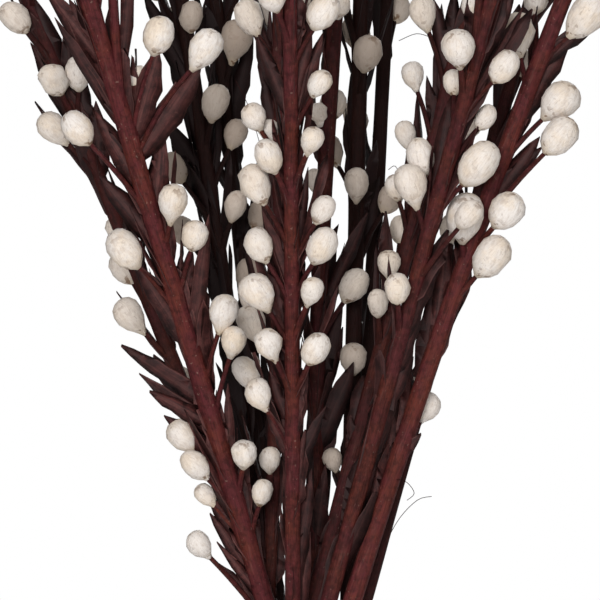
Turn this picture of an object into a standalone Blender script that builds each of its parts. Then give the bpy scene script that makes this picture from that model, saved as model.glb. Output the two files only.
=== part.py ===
"""A vase of dried moti sticks.

Thirteen woody sticks stand on the floor of a plain turned vase, pass its neck side by side and
fan out above it. Sprigs rise from every stick: a narrow leaf, and a stalk that ends in one pale
pod. A stick with its leaves and pods is one piece, as it grew, and the vase is another.

Metres, +Z up, with the vase's foot standing on z = 0 round the origin. The front faces -Y.
"""

import math
import random
from collections import namedtuple

import bmesh
import bpy
import numpy as np
from mathutils import Vector

MM = 0.001
SEED = 21

# Vase: half widths and heights, from the floor up the inside, and from the foot up the outside.
FLOOR_Z = 0.007
RIM_Z = 0.175
INSIDE = ((0.040, 0.007), (0.050, 0.020), (0.056, 0.060), (0.045, 0.100), (0.0265, 0.130), (0.0215, 0.149),
          (0.0225, 0.164), (0.0262, 0.1735))
OUTSIDE = ((0.041, 0.0), (0.046, 0.003), (0.055, 0.018), (0.0615, 0.060), (0.050, 0.102), (0.0315, 0.132),
           (0.0265, 0.150), (0.0275, 0.165), (0.0310, 0.1740))
OUTSIDE_STEPS = 2
TURN_STEPS = 24

# Sticks: where each passes the vase's neck, how it leans and bends past that, its top, and its radius at
# the foot in millimetres.
Stick = namedtuple("Stick", "neck lean bend top radius")
NECK_Z = 0.148
STICKS = {
    "left_front_stick": Stick((0.003, 0.010), (-0.289, -0.16), (0.0, -0.25), 0.575, 3.2),
    "left_stick": Stick((0.0088, 0.009), (-0.395, 0.01), (0.0, 0.10), 0.545, 2.6),
    "front_stick": Stick((-0.0028, -0.004), (-0.010, -0.18), (0.0, -0.20), 0.590, 2.4),
    "right_front_stick": Stick((-0.0078, -0.007), (0.265, -0.12), (0.0, -0.15), 0.570, 2.7),
    "right_stick": Stick((-0.0056, -0.012), (0.30, -0.02), (0.20, -0.10), 0.560, 3.1),
    "right_back_stick": Stick((-0.010, -0.0005), (0.251, 0.02), (0.0, 0.10), 0.600, 2.6),
    "back_stick": Stick((0.0108, -0.002), (0.055, 0.28), (0.0, 0.0), 0.585, 2.5),
    "back_inner_stick": Stick((0.0097, -0.009), (0.025, 0.19), (0.0, -0.05), 0.605, 2.7),
    "back_left_stick": Stick((-0.0034, 0.015), (-0.105, 0.20), (0.0, 0.10), 0.580, 2.5),
    "left_inner_stick": Stick((-0.0016, 0.007), (-0.154, 0.13), (0.0, 0.05), 0.600, 2.5),
    "middle_stick": Stick((-0.002, 0.001), (0.01, 0.03), (0.15, 0.05), 0.610, 2.7),
    "centre_left_stick": Stick((-0.011, 0.006), (0.035, 0.0), (-0.10, 0.15), 0.590, 2.3),
    "far_right_stick": Stick((-0.0006, -0.013), (0.291, 0.13), (0.0, 0.10), 0.560, 2.4),
}
FOOT_Z = FLOOR_Z + 0.8 * MM
STRAIGHTEN = 2.5
STEM_TAPER = 0.25
TIP_TAPER = 0.28
TIP_SHARE = 0.7
STEM_CLEARANCE = 0.6 * MM
WALL_CLEARANCE = 1.3 * MM
LEVEL_STEP = 8 * MM
SETTLING_ROUNDS = 400
STEM_TOLERANCE = 0.2 * MM

# Sprigs
POD_WIDTH = (7.2 * MM, 9.4 * MM)
POD_SLENDERNESS = (1.1, 1.33)
POD_REACH = (8.6 * MM, 12.0 * MM)
NEAREST_POD = 8.4 * MM
RISE_PER_REACH = 1.9
RISE_LIMITS = (16 * MM, 31 * MM)
STALK_RADIUS = 0.9 * MM
LEAF_REACH = (25 * MM, 38 * MM)
LEAF_WIDTH = (4.2 * MM, 5.8 * MM)
LEAF_THICKNESS = 0.9 * MM
LEAF_ANGLE = (11, 22)
FIRST_SPRIG_Z = 0.285
SPRIG_SPACING = 15 * MM
GOLDEN_ANGLE = math.radians(137.5)
SPRIG_CLEARANCE = 0.6 * MM
SHOWN_BELOW = 0.375
BARE_FRONT = -0.35
EDGE_STICK = "right_stick"
EDGE_ROOM = 5 * MM
FAN_EDGE_START = 0.165
FAN_EDGE_SLOPE = 0.36
BUILD_EVERY = 2
BARE_EVERY = 4

# Pods on the front of the fan, as (across, height, width, facing) in millimetres. A facing of -1 is
# in front of its stick and 1 is behind it.
FRONT, BEHIND = -1, 1
SHOWN_PODS = {
    "left_stick": (
        (-84, 369, 8.0, FRONT), (-73, 351, 8.3, FRONT), (-66, 353, 8.0, FRONT), (-73, 337, 8.5, FRONT),
        (-55, 308, 7.0, BEHIND), (-53, 297, 8.0, BEHIND), (-51, 283, 8.7, FRONT), (-37, 265, 7.0, BEHIND)),
    "left_front_stick": (
        (-65, 336, 8.6, FRONT), (-52, 302, 9.6, FRONT), (-38, 315, 9.1, FRONT), (-32, 306, 7.8, FRONT),
        (-42, 362, 9.1, FRONT), (-29, 358, 9.7, FRONT), (-48, 350, 6.5, BEHIND), (-36, 249, 8.0, BEHIND),
        (-32, 241, 7.5, FRONT), (-29, 232, 6.0, BEHIND), (-31, 218, 7.0, FRONT), (-24, 284, 8.6, FRONT),
        (-21, 276, 7.4, FRONT), (-18, 244, 7.4, FRONT), (-13, 233, 6.5, FRONT)),
    "left_inner_stick": (
        (-27, 345, 8.6, FRONT), (-21, 336, 7.4, FRONT), (-38, 370, 7.0, BEHIND), (-34, 370, 7.0, FRONT),
        (-39, 326, 7.5, FRONT), (-21, 315, 7.0, FRONT)),
    "back_left_stick": (
        (-21, 364, 9.7, FRONT), (-30, 333, 6.0, FRONT), (-14, 313, 7.4, FRONT), (-17, 268, 7.0, FRONT)),
    "centre_left_stick": (
        (-17, 369, 8.6, FRONT), (-16, 281, 8.6, FRONT), (-11, 242, 6.5, FRONT)),
    "front_stick": (
        (-10, 372, 8.6, FRONT), (-11, 335, 6.0, BEHIND), (-11, 328, 8.0, FRONT), (-15, 320, 9.1, FRONT),
        (-14, 303, 8.2, FRONT), (-14, 290, 9.6, FRONT), (-11, 275, 8.0, FRONT), (-14, 261, 8.0, FRONT),
        (4, 368, 8.6, FRONT), (3, 348, 6.8, FRONT), (-1, 348, 6.0, BEHIND), (1, 332, 7.0, FRONT),
        (4, 313, 6.6, FRONT), (4, 303, 9.0, FRONT), (1, 290, 7.0, FRONT), (2, 274, 8.6, FRONT)),
    "middle_stick": (
        (9, 372, 6.0, FRONT), (3, 341, 5.5, FRONT), (2, 322, 5.5, FRONT), (13, 292, 8.0, FRONT),
        (5, 227, 5.5, FRONT)),
    "back_inner_stick": (
        (17, 359, 9.3, FRONT), (14, 321, 7.5, FRONT), (13, 271, 8.0, FRONT), (7, 242, 6.5, FRONT)),
    "right_back_stick": (
        (23, 298, 7.0, FRONT), (20, 287, 6.5, FRONT), (25, 320, 6.5, FRONT), (33, 325, 7.5, BEHIND),
        (30, 352, 7.0, FRONT), (28, 335, 6.6, FRONT), (33, 370, 8.6, FRONT)),
    "right_front_stick": (
        (25, 291, 7.7, FRONT), (29, 320, 9.7, FRONT), (42, 358, 9.7, FRONT), (41, 349, 6.5, BEHIND),
        (46, 370, 6.5, BEHIND), (55, 353, 8.0, FRONT), (48, 326, 10.9, FRONT), (50, 339, 6.0, BEHIND)),
    "right_stick": (
        (44, 311, 11.5, FRONT), (59, 363, 10.8, FRONT), (56, 313, 9.7, FRONT), (52, 300, 10.3, FRONT),
        (71, 344, 10.8, FRONT), (71, 334, 10.0, FRONT), (79, 368, 11.4, FRONT), (28, 262, 7.0, BEHIND),
        (34, 257, 7.8, BEHIND), (37, 288, 6.0, BEHIND)),
}

# Side branches, as (across, height, pod width, facing, height of the root, radius) in millimetres.
BRANCHES = {
    "left_front_stick": ((-55, 404, 8.0, BEHIND, 340, 1.7),),
    "right_front_stick": ((50, 418, 8.0, BEHIND, 352, 1.5),),
    "back_stick": ((15, 452, 7.5, FRONT, 385, 1.5),),
    "left_stick": ((-85, 438, 7.5, BEHIND, 372, 1.5),),
}

# Single leaves that show on the front, as (root height, tip across, tip height, width, facing) in
# millimetres.
SHOWN_LEAVES = {
    "left_front_stick": (
        (259, -53, 275, 5.0, BEHIND), (252, -45, 262, 4.2, FRONT), (242, -41, 255, 4.8, BEHIND),
        (331, -42, 358, 7.6, FRONT), (327, -30, 354, 7.8, FRONT), (335, -71, 367, 4.0, FRONT),
        (352, -74, 376, 5.5, BEHIND), (316, -60, 339, 5.0, BEHIND), (303, -59, 323, 5.6, BEHIND),
        (275, -49, 299, 6.2, FRONT), (273, -28, 312, 4.6, FRONT), (285, -36, 301, 3.4, BEHIND),
        (223, -29, 246, 3.4, BEHIND), (213, -29, 233, 4.8, BEHIND), (202, -26, 219, 3.0, FRONT)),
    "right_stick": ((317, 66, 331, 3.8, FRONT), (354, 76, 363, 3.8, FRONT), (243, 32, 250, 3.4, FRONT)),
    "front_stick": (
        (290, -13, 313, 4.0, BEHIND), (339, -14, 361, 4.2, BEHIND), (292, 0, 325, 4.0, BEHIND),
        (242, -12, 258, 3.8, FRONT), (250, -11, 268, 4.0, BEHIND), (238, 5, 258, 4.0, BEHIND)),
    "middle_stick": (
        (282, 17, 313, 4.2, FRONT), (243, 13, 270, 6.0, FRONT), (262, 10, 288, 5.0, BEHIND)),
    "right_back_stick": ((243, 12, 255, 3.6, FRONT), (247, 15, 261, 4.6, BEHIND)),
}

# Faceted shapes, as (share of the length, share of the half width) at each ring from root to tip.
POD_SIDES = 5
POD_RINGS = ((0.0, 0.34), (0.42, 0.98), (0.80, 0.80))
LEAF_SIDES = 3
LEAF_RINGS = ((0.0, 0.0), (0.45, 0.95), (0.72, 0.90), (1.0, 0.0))

Sprig = namedtuple("Sprig", "root stalk_radius pod_base pod_tip pod_width leaf")
Leaf = namedtuple("Leaf", "root tip side width")
LEAF_SPHERES = ((0.3, 0.3), (0.4, 0.42), (0.5, 0.48), (0.6, 0.48), (0.7, 0.46), (0.8, 0.4), (0.9, 0.25), (1, 0.1))
SPHERE_SIDES = (-0.6, 0, 0.6)
SPHERE_SIZE = 0.42


def smooth_curve(points, steps):
    """The points with more between them, on a smooth curve through them all."""
    rounded = []
    for i in range(len(points) - 1):
        before, here = points[max(i - 1, 0)], points[i]
        there, after = points[i + 1], points[min(i + 2, len(points) - 1)]
        for step in range(steps):
            t = step / steps
            rounded.append(tuple(
                0.5 * (2 * b + (c - a) * t + (2 * a - 5 * b + 4 * c - d) * t ** 2 + (3 * b - a - 3 * c + d) * t ** 3)
                for a, b, c, d in zip(before, here, there, after)))
    return rounded + [points[-1]]


def stem_radius(stick, z):
    share = (z - FOOT_Z) / (stick.top - FOOT_Z)
    near_tip = max(0.0, share - TIP_SHARE) / (1 - TIP_SHARE)
    return stick.radius * MM * (1 - STEM_TAPER * share - TIP_TAPER * near_tip)


def free_place(stick, z):
    """Where the stick would be with nothing beside it. Inside the vase it straightens towards its foot."""
    up = z - NECK_Z
    along = up if up > 0 else up + STRAIGHTEN * up * up
    bent = max(up, 0.0) ** 2
    return [stick.neck[i] + stick.lean[i] * along + stick.bend[i] * bent for i in (0, 1)]


def settled_sticks():
    """Heights, and each stick's place at them, once they press each other aside and keep inside the vase."""
    highest = max(stick.top for stick in STICKS.values())
    heights = np.arange(FOOT_Z, highest + LEVEL_STEP, LEVEL_STEP)
    free = np.array([[free_place(stick, z) for z in heights] for stick in STICKS.values()])
    radii = np.array([[stem_radius(stick, z) for z in heights] for stick in STICKS.values()])
    walls, levels = zip(*INSIDE)
    room = np.where(heights <= RIM_Z, np.interp(heights, levels, walls), 1.0) - radii - WALL_CLEARANCE
    places = free.copy()
    for _ in range(SETTLING_ROUNDS):
        shifts = np.zeros_like(places)
        for i in range(len(places)):
            for j in range(i + 1, len(places)):
                apart = places[i] - places[j]
                distance = np.linalg.norm(apart, axis=1) + 1e-9
                lack = np.clip((radii[i] + radii[j] + STEM_CLEARANCE) * 1.06 - distance, 0, None) / 2
                push = apart / distance[:, None] * lack[:, None] * 0.5
                shifts[i] += push
                shifts[j] -= push
        places += shifts
        out = np.linalg.norm(places, axis=2) + 1e-9
        places *= np.minimum(1, room / out)[:, :, None]
        offsets = places - free
        eased = offsets.copy()
        eased[:, 1:-1] = 0.5 * offsets[:, 1:-1] + 0.25 * (offsets[:, :-2] + offsets[:, 2:])
        eased[:, 0] = 0.5 * (offsets[:, 0] + offsets[:, 1])
        places = free + eased
    return heights, dict(zip(STICKS, places))


class Layout:
    """Where every stick and sprig is. A sprig is kept only where it clears all the other sticks."""

    def __init__(self):
        self.heights, self.places = settled_sticks()
        self.taken = {name: [] for name in STICKS}
        self.rows = {}
        for name, stick in STICKS.items():
            self.take(name, [(*self.centre(name, z), stem_radius(stick, z))
                             for z in np.arange(FOOT_Z, stick.top, 2 * MM)])
        self.sprigs = {name: [] for name in STICKS}
        self.leaves = {name: [] for name in STICKS}
        chance = random.Random(SEED)
        for name, branches in BRANCHES.items():
            for branch in branches:
                self.add_branch(chance, name, branch)
        for name, pods in SHOWN_PODS.items():
            for across, height, width, facing in pods:
                self.add_shown_pod(chance, name, across * MM, height * MM, width * MM, facing)
        for name, leaves in SHOWN_LEAVES.items():
            for root, across, height, width, facing in leaves:
                self.add_shown_leaf(name, root * MM, across * MM, height * MM, width * MM, facing)
        for name in STICKS:
            self.add_tip_sprig(chance, name)
            self.add_sprigs_by_rule(chance, name)

    def centre(self, name, z):
        places = self.places[name]
        return Vector((np.interp(z, self.heights, places[:, 0]), np.interp(z, self.heights, places[:, 1]), z))

    def take(self, name, spheres):
        self.taken[name] += spheres
        self.rows[name] = np.array(self.taken[name])[None]

    def clears(self, name, spheres):
        """True where no sphere meets one of another stick's."""
        mine = np.array(spheres)[:, None]
        for other, theirs in self.rows.items():
            apart = np.linalg.norm(mine[..., :3] - theirs[..., :3], axis=2)
            if other != name and (apart - mine[..., 3] - theirs[..., 3]).min() < SPRIG_CLEARANCE:
                return False
        return True

    def pod_is_free(self, name, middle, width):
        """True where the pod leaves room for the other pods of its own stick."""
        return all((middle - (s.pod_base + s.pod_tip) / 2).length > 0.5 * (width + s.pod_width)
                   for s in self.sprigs[name])

    def sprig_at(self, chance, name, middle, width, root_z=None, stalk_radius=STALK_RADIUS):
        """The sprig whose pod has this middle, or None where it meets another stick."""
        length = width * chance.uniform(*POD_SLENDERNESS)
        beside = self.centre(name, middle.z)
        reach = Vector((middle.x - beside.x, middle.y - beside.y, 0))
        rise = min(max(reach.length * RISE_PER_REACH, RISE_LIMITS[0]), RISE_LIMITS[1])
        root = self.centre(name, root_z or middle.z - rise)
        along = (middle - root).normalized()
        pod_base, pod_tip = middle - along * length / 2, middle + along * length / 2
        stalk = [(*root.lerp(pod_base, t), stalk_radius) for t in np.linspace(0.3, 1, 9 if root_z is None else 30)]
        pod = [(*pod_base.lerp(pod_tip, t), width / 2 * r) for t, r in ((0.2, 0.55), (0.5, 1.0), (0.75, 0.85))]
        if not self.clears(name, stalk + pod):
            return None
        self.take(name, stalk + pod)
        leaf = self.leaf_at(chance, name, root, math.atan2(reach.y, reach.x))
        return Sprig(root, stalk_radius, pod_base, pod_tip, width, leaf)

    def leaf_at(self, chance, name, root, facing):
        """A leaf from the root, turned a little from the pod's side, or None where nothing is clear."""
        reach = chance.uniform(*LEAF_REACH)
        width = chance.uniform(*LEAF_WIDTH)
        angle = math.radians(chance.uniform(*LEAF_ANGLE))
        turn = chance.choice((-1, 1)) * chance.uniform(25, 45)
        twist = chance.uniform(-0.8, 0.8)
        up = (self.centre(name, root.z + 5 * MM) - root).normalized()
        for swing in (turn, -turn, 0, 2 * turn, -2 * turn):
            azimuth = facing + math.radians(swing)
            outward = Vector((math.cos(azimuth), math.sin(azimuth), 0))
            tip = root + (up * math.cos(angle) + outward * math.sin(angle)) * reach
            past_edge = tip.x > self.centre(EDGE_STICK, tip.z).x + EDGE_ROOM
            if root.z < SHOWN_BELOW and (past_edge or outward.y < BARE_FRONT):
                continue
            leaf = Leaf(root, tip, (up.cross(outward) + outward * twist).normalized(), width)
            if self.keep_leaf(name, leaf):
                return leaf
        return None

    def keep_leaf(self, name, leaf):
        """True, and the leaf's room is taken, where its flat blade meets no other stick."""
        spheres = [(*(leaf.root.lerp(leaf.tip, t) + leaf.side * (leaf.width * r * aside)), leaf.width * r * SPHERE_SIZE)
                   for t, r in LEAF_SPHERES for aside in SPHERE_SIDES]
        clear = self.clears(name, spheres)
        if clear:
            self.take(name, spheres)
        return clear

    def add_shown_leaf(self, name, root_z, across, height, width, facing):
        root, beside = self.centre(name, root_z), self.centre(name, height)
        for depth in (2, 4, 6, 8, 0, -2):
            tip = Vector((across, beside.y + facing * depth * MM, height))
            outward = (tip - root).normalized()
            side = outward.cross(Vector((0, 1, 0))) + outward.cross(Vector((0, 0, 1))) * 0.3
            leaf = Leaf(root, tip, side.normalized(), width)
            if self.keep_leaf(name, leaf):
                self.leaves[name].append(leaf)
                return

    def add_branch(self, chance, name, branch):
        across, height, width, facing, root_z, radius = branch
        beside = self.centre(name, height * MM)
        for depth in (3, 5, 7, 9, 1):
            middle = Vector((across * MM, beside.y + facing * depth * MM, height * MM))
            sprig = self.sprig_at(chance, name, middle, width * MM, root_z * MM, radius * MM)
            if sprig:
                self.sprigs[name].append(sprig)
                return

    def add_shown_pod(self, chance, name, across, height, width, facing):
        beside = self.centre(name, height)
        side = across - beside.x
        depth = math.sqrt(max(NEAREST_POD ** 2 - side ** 2, (2 * MM) ** 2))
        for further in (0, 1, 2, -2, 3, 4, 6, 8, -4):
            middle = Vector((across, beside.y + facing * (depth + further * MM), height))
            if not self.pod_is_free(name, middle, width):
                continue
            sprig = self.sprig_at(chance, name, middle, width)
            if sprig:
                self.sprigs[name].append(sprig)
                return

    def add_tip_sprig(self, chance, name):
        """One pod ends the stick, nearly in line with it."""
        top = STICKS[name].top
        tip, below = self.centre(name, top), self.centre(name, top - 20 * MM)
        aside = Vector((chance.uniform(-1, 1), chance.uniform(-1, 1), 0)) * 1.5 * MM
        middle = tip + (tip - below) * 0.5 + aside
        sprig = self.sprig_at(chance, name, middle, POD_WIDTH[0])
        if sprig:
            self.sprigs[name].insert(0, sprig)

    def add_sprigs_by_rule(self, chance, name):
        """Sprigs turn round the stick by the golden angle, leaving out the shown front and the fan's edges."""
        stick = STICKS[name]
        azimuth = chance.uniform(0, math.tau)
        height = FIRST_SPRIG_Z + chance.uniform(0, SPRIG_SPACING)
        while height < stick.top + 2 * MM:
            near_tip = min(1.0, (stick.top + 30 * MM - height) / (110 * MM))
            shown = height < SHOWN_BELOW and math.sin(azimuth) < 0.15
            if not shown:
                for swing in (0, 25, -25, 50, -50, 80, -80):
                    turned = azimuth + math.radians(swing)
                    reach = chance.uniform(*POD_REACH) * (0.62 + 0.38 * near_tip)
                    width = chance.uniform(*POD_WIDTH) * (0.75 + 0.25 * near_tip)
                    beside = self.centre(name, min(height, stick.top))
                    middle = beside + Vector((math.cos(turned), math.sin(turned), 0)) * reach
                    middle.z = height
                    outside = abs(middle.x) + width / 2 > FAN_EDGE_SLOPE * (height - FAN_EDGE_START)
                    if (height < SHOWN_BELOW and outside) or not self.pod_is_free(name, middle, width):
                        continue
                    sprig = self.sprig_at(chance, name, middle, width)
                    if sprig:
                        self.sprigs[name].append(sprig)
                        break
            azimuth += GOLDEN_ANGLE + chance.uniform(-0.3, 0.3)
            height += SPRIG_SPACING * chance.uniform(0.8, 1.2)


def make_material(name, colour, roughness):
    material = bpy.data.materials.new(name)
    material.use_nodes = True
    shader = material.node_tree.nodes["Principled BSDF"]
    shader.inputs["Base Color"].default_value = (*colour, 1)
    shader.inputs["Roughness"].default_value = roughness
    material.diffuse_color = (*colour, 1)
    return material


def new_object(name, data, collection, material=None):
    made = bpy.data.objects.new(name, data)
    collection.objects.link(made)
    if material:
        data.materials.append(material)
    return made


def make_vase(collection, material):
    """A turned profile: up the inside from the floor's middle, over the rim and down the outside."""
    outside = smooth_curve(OUTSIDE, OUTSIDE_STEPS)
    rim = ((INSIDE[-1][0] + OUTSIDE[-1][0]) / 2, RIM_Z)
    profile = [(0.0, FLOOR_Z), *INSIDE, rim, *reversed(outside), (0.0, 0.0)]
    mesh = bpy.data.meshes.new("vase")
    shape = bmesh.new()
    corners = [shape.verts.new((radius, 0, z)) for radius, z in profile]
    for here, there in zip(corners, corners[1:]):
        shape.edges.new((here, there))
    shape.to_mesh(mesh)
    shape.free()
    vase = new_object("vase", mesh, collection, material)
    turned = vase.modifiers.new("turned", "SCREW")
    turned.steps = turned.render_steps = TURN_STEPS
    turned.use_merge_vertices = True
    turned.merge_threshold = 0.00002
    turned.use_smooth_shade = True
    return vase


def bend_heights(name, layout):
    """Heights of the stem's points, as far apart as its bends allow."""
    levels = [*np.arange(FOOT_Z, STICKS[name].top - LEVEL_STEP, LEVEL_STEP), STICKS[name].top]
    kept = [0]
    while kept[-1] < len(levels) - 1:
        first = last = kept[-1]
        strays = False
        while not strays and last < len(levels) - 1:
            last += 1
            start, end = layout.centre(name, levels[first]), layout.centre(name, levels[last])
            strays = any((start.lerp(end, (z - levels[first]) / (levels[last] - levels[first]))
                          - layout.centre(name, z)).length > STEM_TOLERANCE for z in levels[first + 1:last])
        kept.append(max(last - 1, first + 1) if strays else last)
    return [levels[i] for i in kept]


def make_stem(name, layout, collection, material):
    """A tapered tube along the stick, made a mesh."""
    stick = STICKS[name]
    heights = bend_heights(name, layout)
    curve = bpy.data.curves.new(name, "CURVE")
    curve.dimensions = "3D"
    curve.bevel_depth = 1.0
    curve.bevel_resolution = 1
    curve.use_fill_caps = True
    line = curve.splines.new("POLY")
    line.points.add(len(heights) - 1)
    for point, z in zip(line.points, heights):
        point.co = (*layout.centre(name, z), 1)
        point.radius = stem_radius(stick, z)
    guide = new_object(name + "_line", curve, collection)
    bpy.context.view_layer.update()
    mesh = bpy.data.meshes.new_from_object(guide.evaluated_get(bpy.context.evaluated_depsgraph_get()))
    shape = bmesh.new()
    shape.from_mesh(mesh)
    bmesh.ops.remove_doubles(shape, verts=shape.verts, dist=0.00001)
    bmesh.ops.recalc_face_normals(shape, faces=shape.faces)
    shape.to_mesh(mesh)
    shape.free()
    stem = new_object(name, mesh, collection, material)
    stem.matrix_world = guide.matrix_world.copy()
    bpy.data.objects.remove(guide)
    return stem


def make_ringed(name, line, sides, across, over, collection):
    """A closed shape with a ring of points at each (place, half width, half thickness) of the line."""
    shape = bmesh.new()
    bmesh.ops.create_uvsphere(shape, u_segments=sides, v_segments=len(line) - 1, radius=1.0)
    for point in shape.verts:
        ring = round((1 - math.acos(max(-1.0, min(1.0, point.co.z))) / math.pi) * (len(line) - 1))
        flat = Vector((point.co.x, point.co.y))
        turn = flat.normalized() if 0 < ring < len(line) - 1 else Vector((0, 0))
        place, half_width, half_thickness = line[ring]
        point.co = place + across * (turn.x * half_width) + over * (turn.y * half_thickness)
    mesh = bpy.data.meshes.new(name)
    shape.to_mesh(mesh)
    shape.free()
    return new_object(name, mesh, collection)


def make_pod(sprig, collection):
    """A stalk from the middle of the stem that widens into the pod, rounded at its far end."""
    along = (sprig.pod_tip - sprig.pod_base).normalized()
    across = along.orthogonal().normalized()
    thick = sprig.stalk_radius * 1.3
    line = [(sprig.root, 0, 0), (sprig.root.lerp(sprig.pod_base, 0.3), thick, thick)]
    for share, width in POD_RINGS:
        half = sprig.pod_width / 2 * width
        line.append((sprig.pod_base.lerp(sprig.pod_tip, share), half, half))
    line.append((sprig.pod_tip, 0, 0))
    return make_ringed("pod", line, POD_SIDES, across, along.cross(across), collection)


def make_leaf(leaf, collection):
    """A lance with a keel along its back, a pole in the stem and one at its tip."""
    along = (leaf.tip - leaf.root).normalized()
    keel = along.cross(leaf.side).normalized()
    line = [(leaf.root.lerp(leaf.tip, share), LEAF_THICKNESS * width, leaf.width / 2 * width)
            for share, width in LEAF_RINGS]
    return make_ringed("leaf", line, LEAF_SIDES, keel, along.cross(keel), collection)


def keep_largest_surface(mesh):
    """Removes loose scraps, and the walls of any hollow that the union sealed, which fills it."""
    shape = bmesh.new()
    shape.from_mesh(mesh)
    waiting = set(shape.faces)
    surfaces = []
    while waiting:
        edge_of_search = [waiting.pop()]
        surface = set(edge_of_search)
        while edge_of_search:
            face = edge_of_search.pop()
            beside = {other for edge in face.edges for other in edge.link_faces} & waiting
            waiting -= beside
            surface |= beside
            edge_of_search.extend(beside)
        surfaces.append(surface)
    largest = max(surfaces, key=len)
    bmesh.ops.delete(shape, geom=[face for face in shape.faces if face not in largest], context="FACES")
    shape.to_mesh(mesh)
    shape.free()


def make_stick(name, layout, collection, material):
    """The stem with its sprigs grown onto it, by one union."""
    growth = bpy.data.collections.new(name + "_growth")
    bpy.context.scene.collection.children.link(growth)
    stem = make_stem(name, layout, collection, material)
    for number, sprig in enumerate(layout.sprigs[name][::BUILD_EVERY]):
        make_pod(sprig, growth)
        if sprig.leaf and number % BARE_EVERY:
            make_leaf(sprig.leaf, growth)
    for leaf in layout.leaves[name]:
        make_leaf(leaf, growth)
    union = stem.modifiers.new("grown together", "BOOLEAN")
    union.operation = "UNION"
    union.operand_type = "COLLECTION"
    union.collection = growth
    union.solver = "MANIFOLD"
    bpy.context.view_layer.update()
    grown = bpy.data.meshes.new_from_object(stem.evaluated_get(bpy.context.evaluated_depsgraph_get()))
    keep_largest_surface(grown)
    stem.modifiers.clear()
    stem.data = grown
    for piece in list(growth.objects):
        bpy.data.objects.remove(piece)
    bpy.data.collections.remove(growth)
    return stem


def main():
    for left_over in list(bpy.data.objects):
        bpy.data.objects.remove(left_over)
    collection = bpy.data.collections.new("vase of moti sticks")
    bpy.context.scene.collection.children.link(collection)
    make_vase(collection, make_material("glazed clay", (0.62, 0.58, 0.52), 0.55))
    bark = make_material("dyed bark", (0.10, 0.03, 0.022), 0.7)
    layout = Layout()
    for name in STICKS:
        make_stick(name, layout, collection, bark)


main()
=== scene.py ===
# %% [markdown]
# # A vase of dried moti sticks
#
# Thirteen dyed woody sticks fan out of a plain clay vase. Sprigs rise from every stick, and each
# sprig is a keeled leaf and a strap-like stalk that ends in one papery pod. The frame gives the
# solids. This lesson dresses them: it grows a finer stem, leaf, stalk and pod in the same places,
# adds the sprigs and leaves that the solids leave out, and gives bark, leaf, pod and clay a finish.

import math
import random
from collections import namedtuple
from types import SimpleNamespace

import bmesh
import bpy
import numpy as np
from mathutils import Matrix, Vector, noise


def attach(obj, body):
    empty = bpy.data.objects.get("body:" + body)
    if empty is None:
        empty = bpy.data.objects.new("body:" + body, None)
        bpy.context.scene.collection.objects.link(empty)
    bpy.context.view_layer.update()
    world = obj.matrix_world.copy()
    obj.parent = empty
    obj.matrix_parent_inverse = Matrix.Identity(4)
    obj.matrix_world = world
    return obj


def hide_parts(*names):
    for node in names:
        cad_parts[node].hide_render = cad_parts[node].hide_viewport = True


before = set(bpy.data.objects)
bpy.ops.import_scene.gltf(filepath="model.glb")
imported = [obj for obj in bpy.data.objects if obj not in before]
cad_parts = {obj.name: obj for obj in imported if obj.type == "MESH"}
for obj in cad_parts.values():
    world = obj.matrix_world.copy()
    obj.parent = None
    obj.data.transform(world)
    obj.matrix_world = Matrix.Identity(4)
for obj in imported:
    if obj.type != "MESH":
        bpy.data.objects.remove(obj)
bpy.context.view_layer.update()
MM = 0.001

# %% [markdown]
# ## The sticks
#
# A stick is set by where it passes the vase's neck, how it leans and bends from there, its top, and
# its radius in millimetres at the foot. A stick could also be drawn as a curve by hand, but then it
# would drift from its solid. These are the numbers that the solids were made from.

# %% Stick lines
Stick = namedtuple("Stick", "neck lean bend top radius")
STICKS = {
    "left_front_stick": Stick((0.003, 0.010), (-0.289, -0.16), (0.0, -0.25), 0.575, 3.2),
    "left_stick": Stick((0.0088, 0.009), (-0.395, 0.01), (0.0, 0.10), 0.545, 2.6),
    "front_stick": Stick((-0.0028, -0.004), (-0.010, -0.18), (0.0, -0.20), 0.590, 2.4),
    "right_front_stick": Stick((-0.0078, -0.007), (0.265, -0.12), (0.0, -0.15), 0.570, 2.7),
    "right_stick": Stick((-0.0056, -0.012), (0.30, -0.02), (0.20, -0.10), 0.560, 3.1),
    "right_back_stick": Stick((-0.010, -0.0005), (0.251, 0.02), (0.0, 0.10), 0.600, 2.6),
    "back_stick": Stick((0.0108, -0.002), (0.055, 0.28), (0.0, 0.0), 0.585, 2.5),
    "back_inner_stick": Stick((0.0097, -0.009), (0.025, 0.19), (0.0, -0.05), 0.605, 2.7),
    "back_left_stick": Stick((-0.0034, 0.015), (-0.105, 0.20), (0.0, 0.10), 0.580, 2.5),
    "left_inner_stick": Stick((-0.0016, 0.007), (-0.154, 0.13), (0.0, 0.05), 0.600, 2.5),
    "middle_stick": Stick((-0.002, 0.001), (0.01, 0.03), (0.15, 0.05), 0.610, 2.7),
    "centre_left_stick": Stick((-0.011, 0.006), (0.035, 0.0), (-0.10, 0.15), 0.590, 2.3),
    "far_right_stick": Stick((-0.0006, -0.013), (0.291, 0.13), (0.0, 0.10), 0.560, 2.4),
}
print("sticks", len(STICKS))

# %% [markdown]
# Above the neck a stick leans and bends outwards. Below it, in the vase, it straightens towards its
# foot. It thins as it rises, and faster near its tip. Both follow the height by a plain formula, so
# any later step can ask for a stick's place and radius at any height.

# %% A free stick
FLOOR_Z = 0.007
RIM_Z = 0.175
NECK_Z = 0.148
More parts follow.
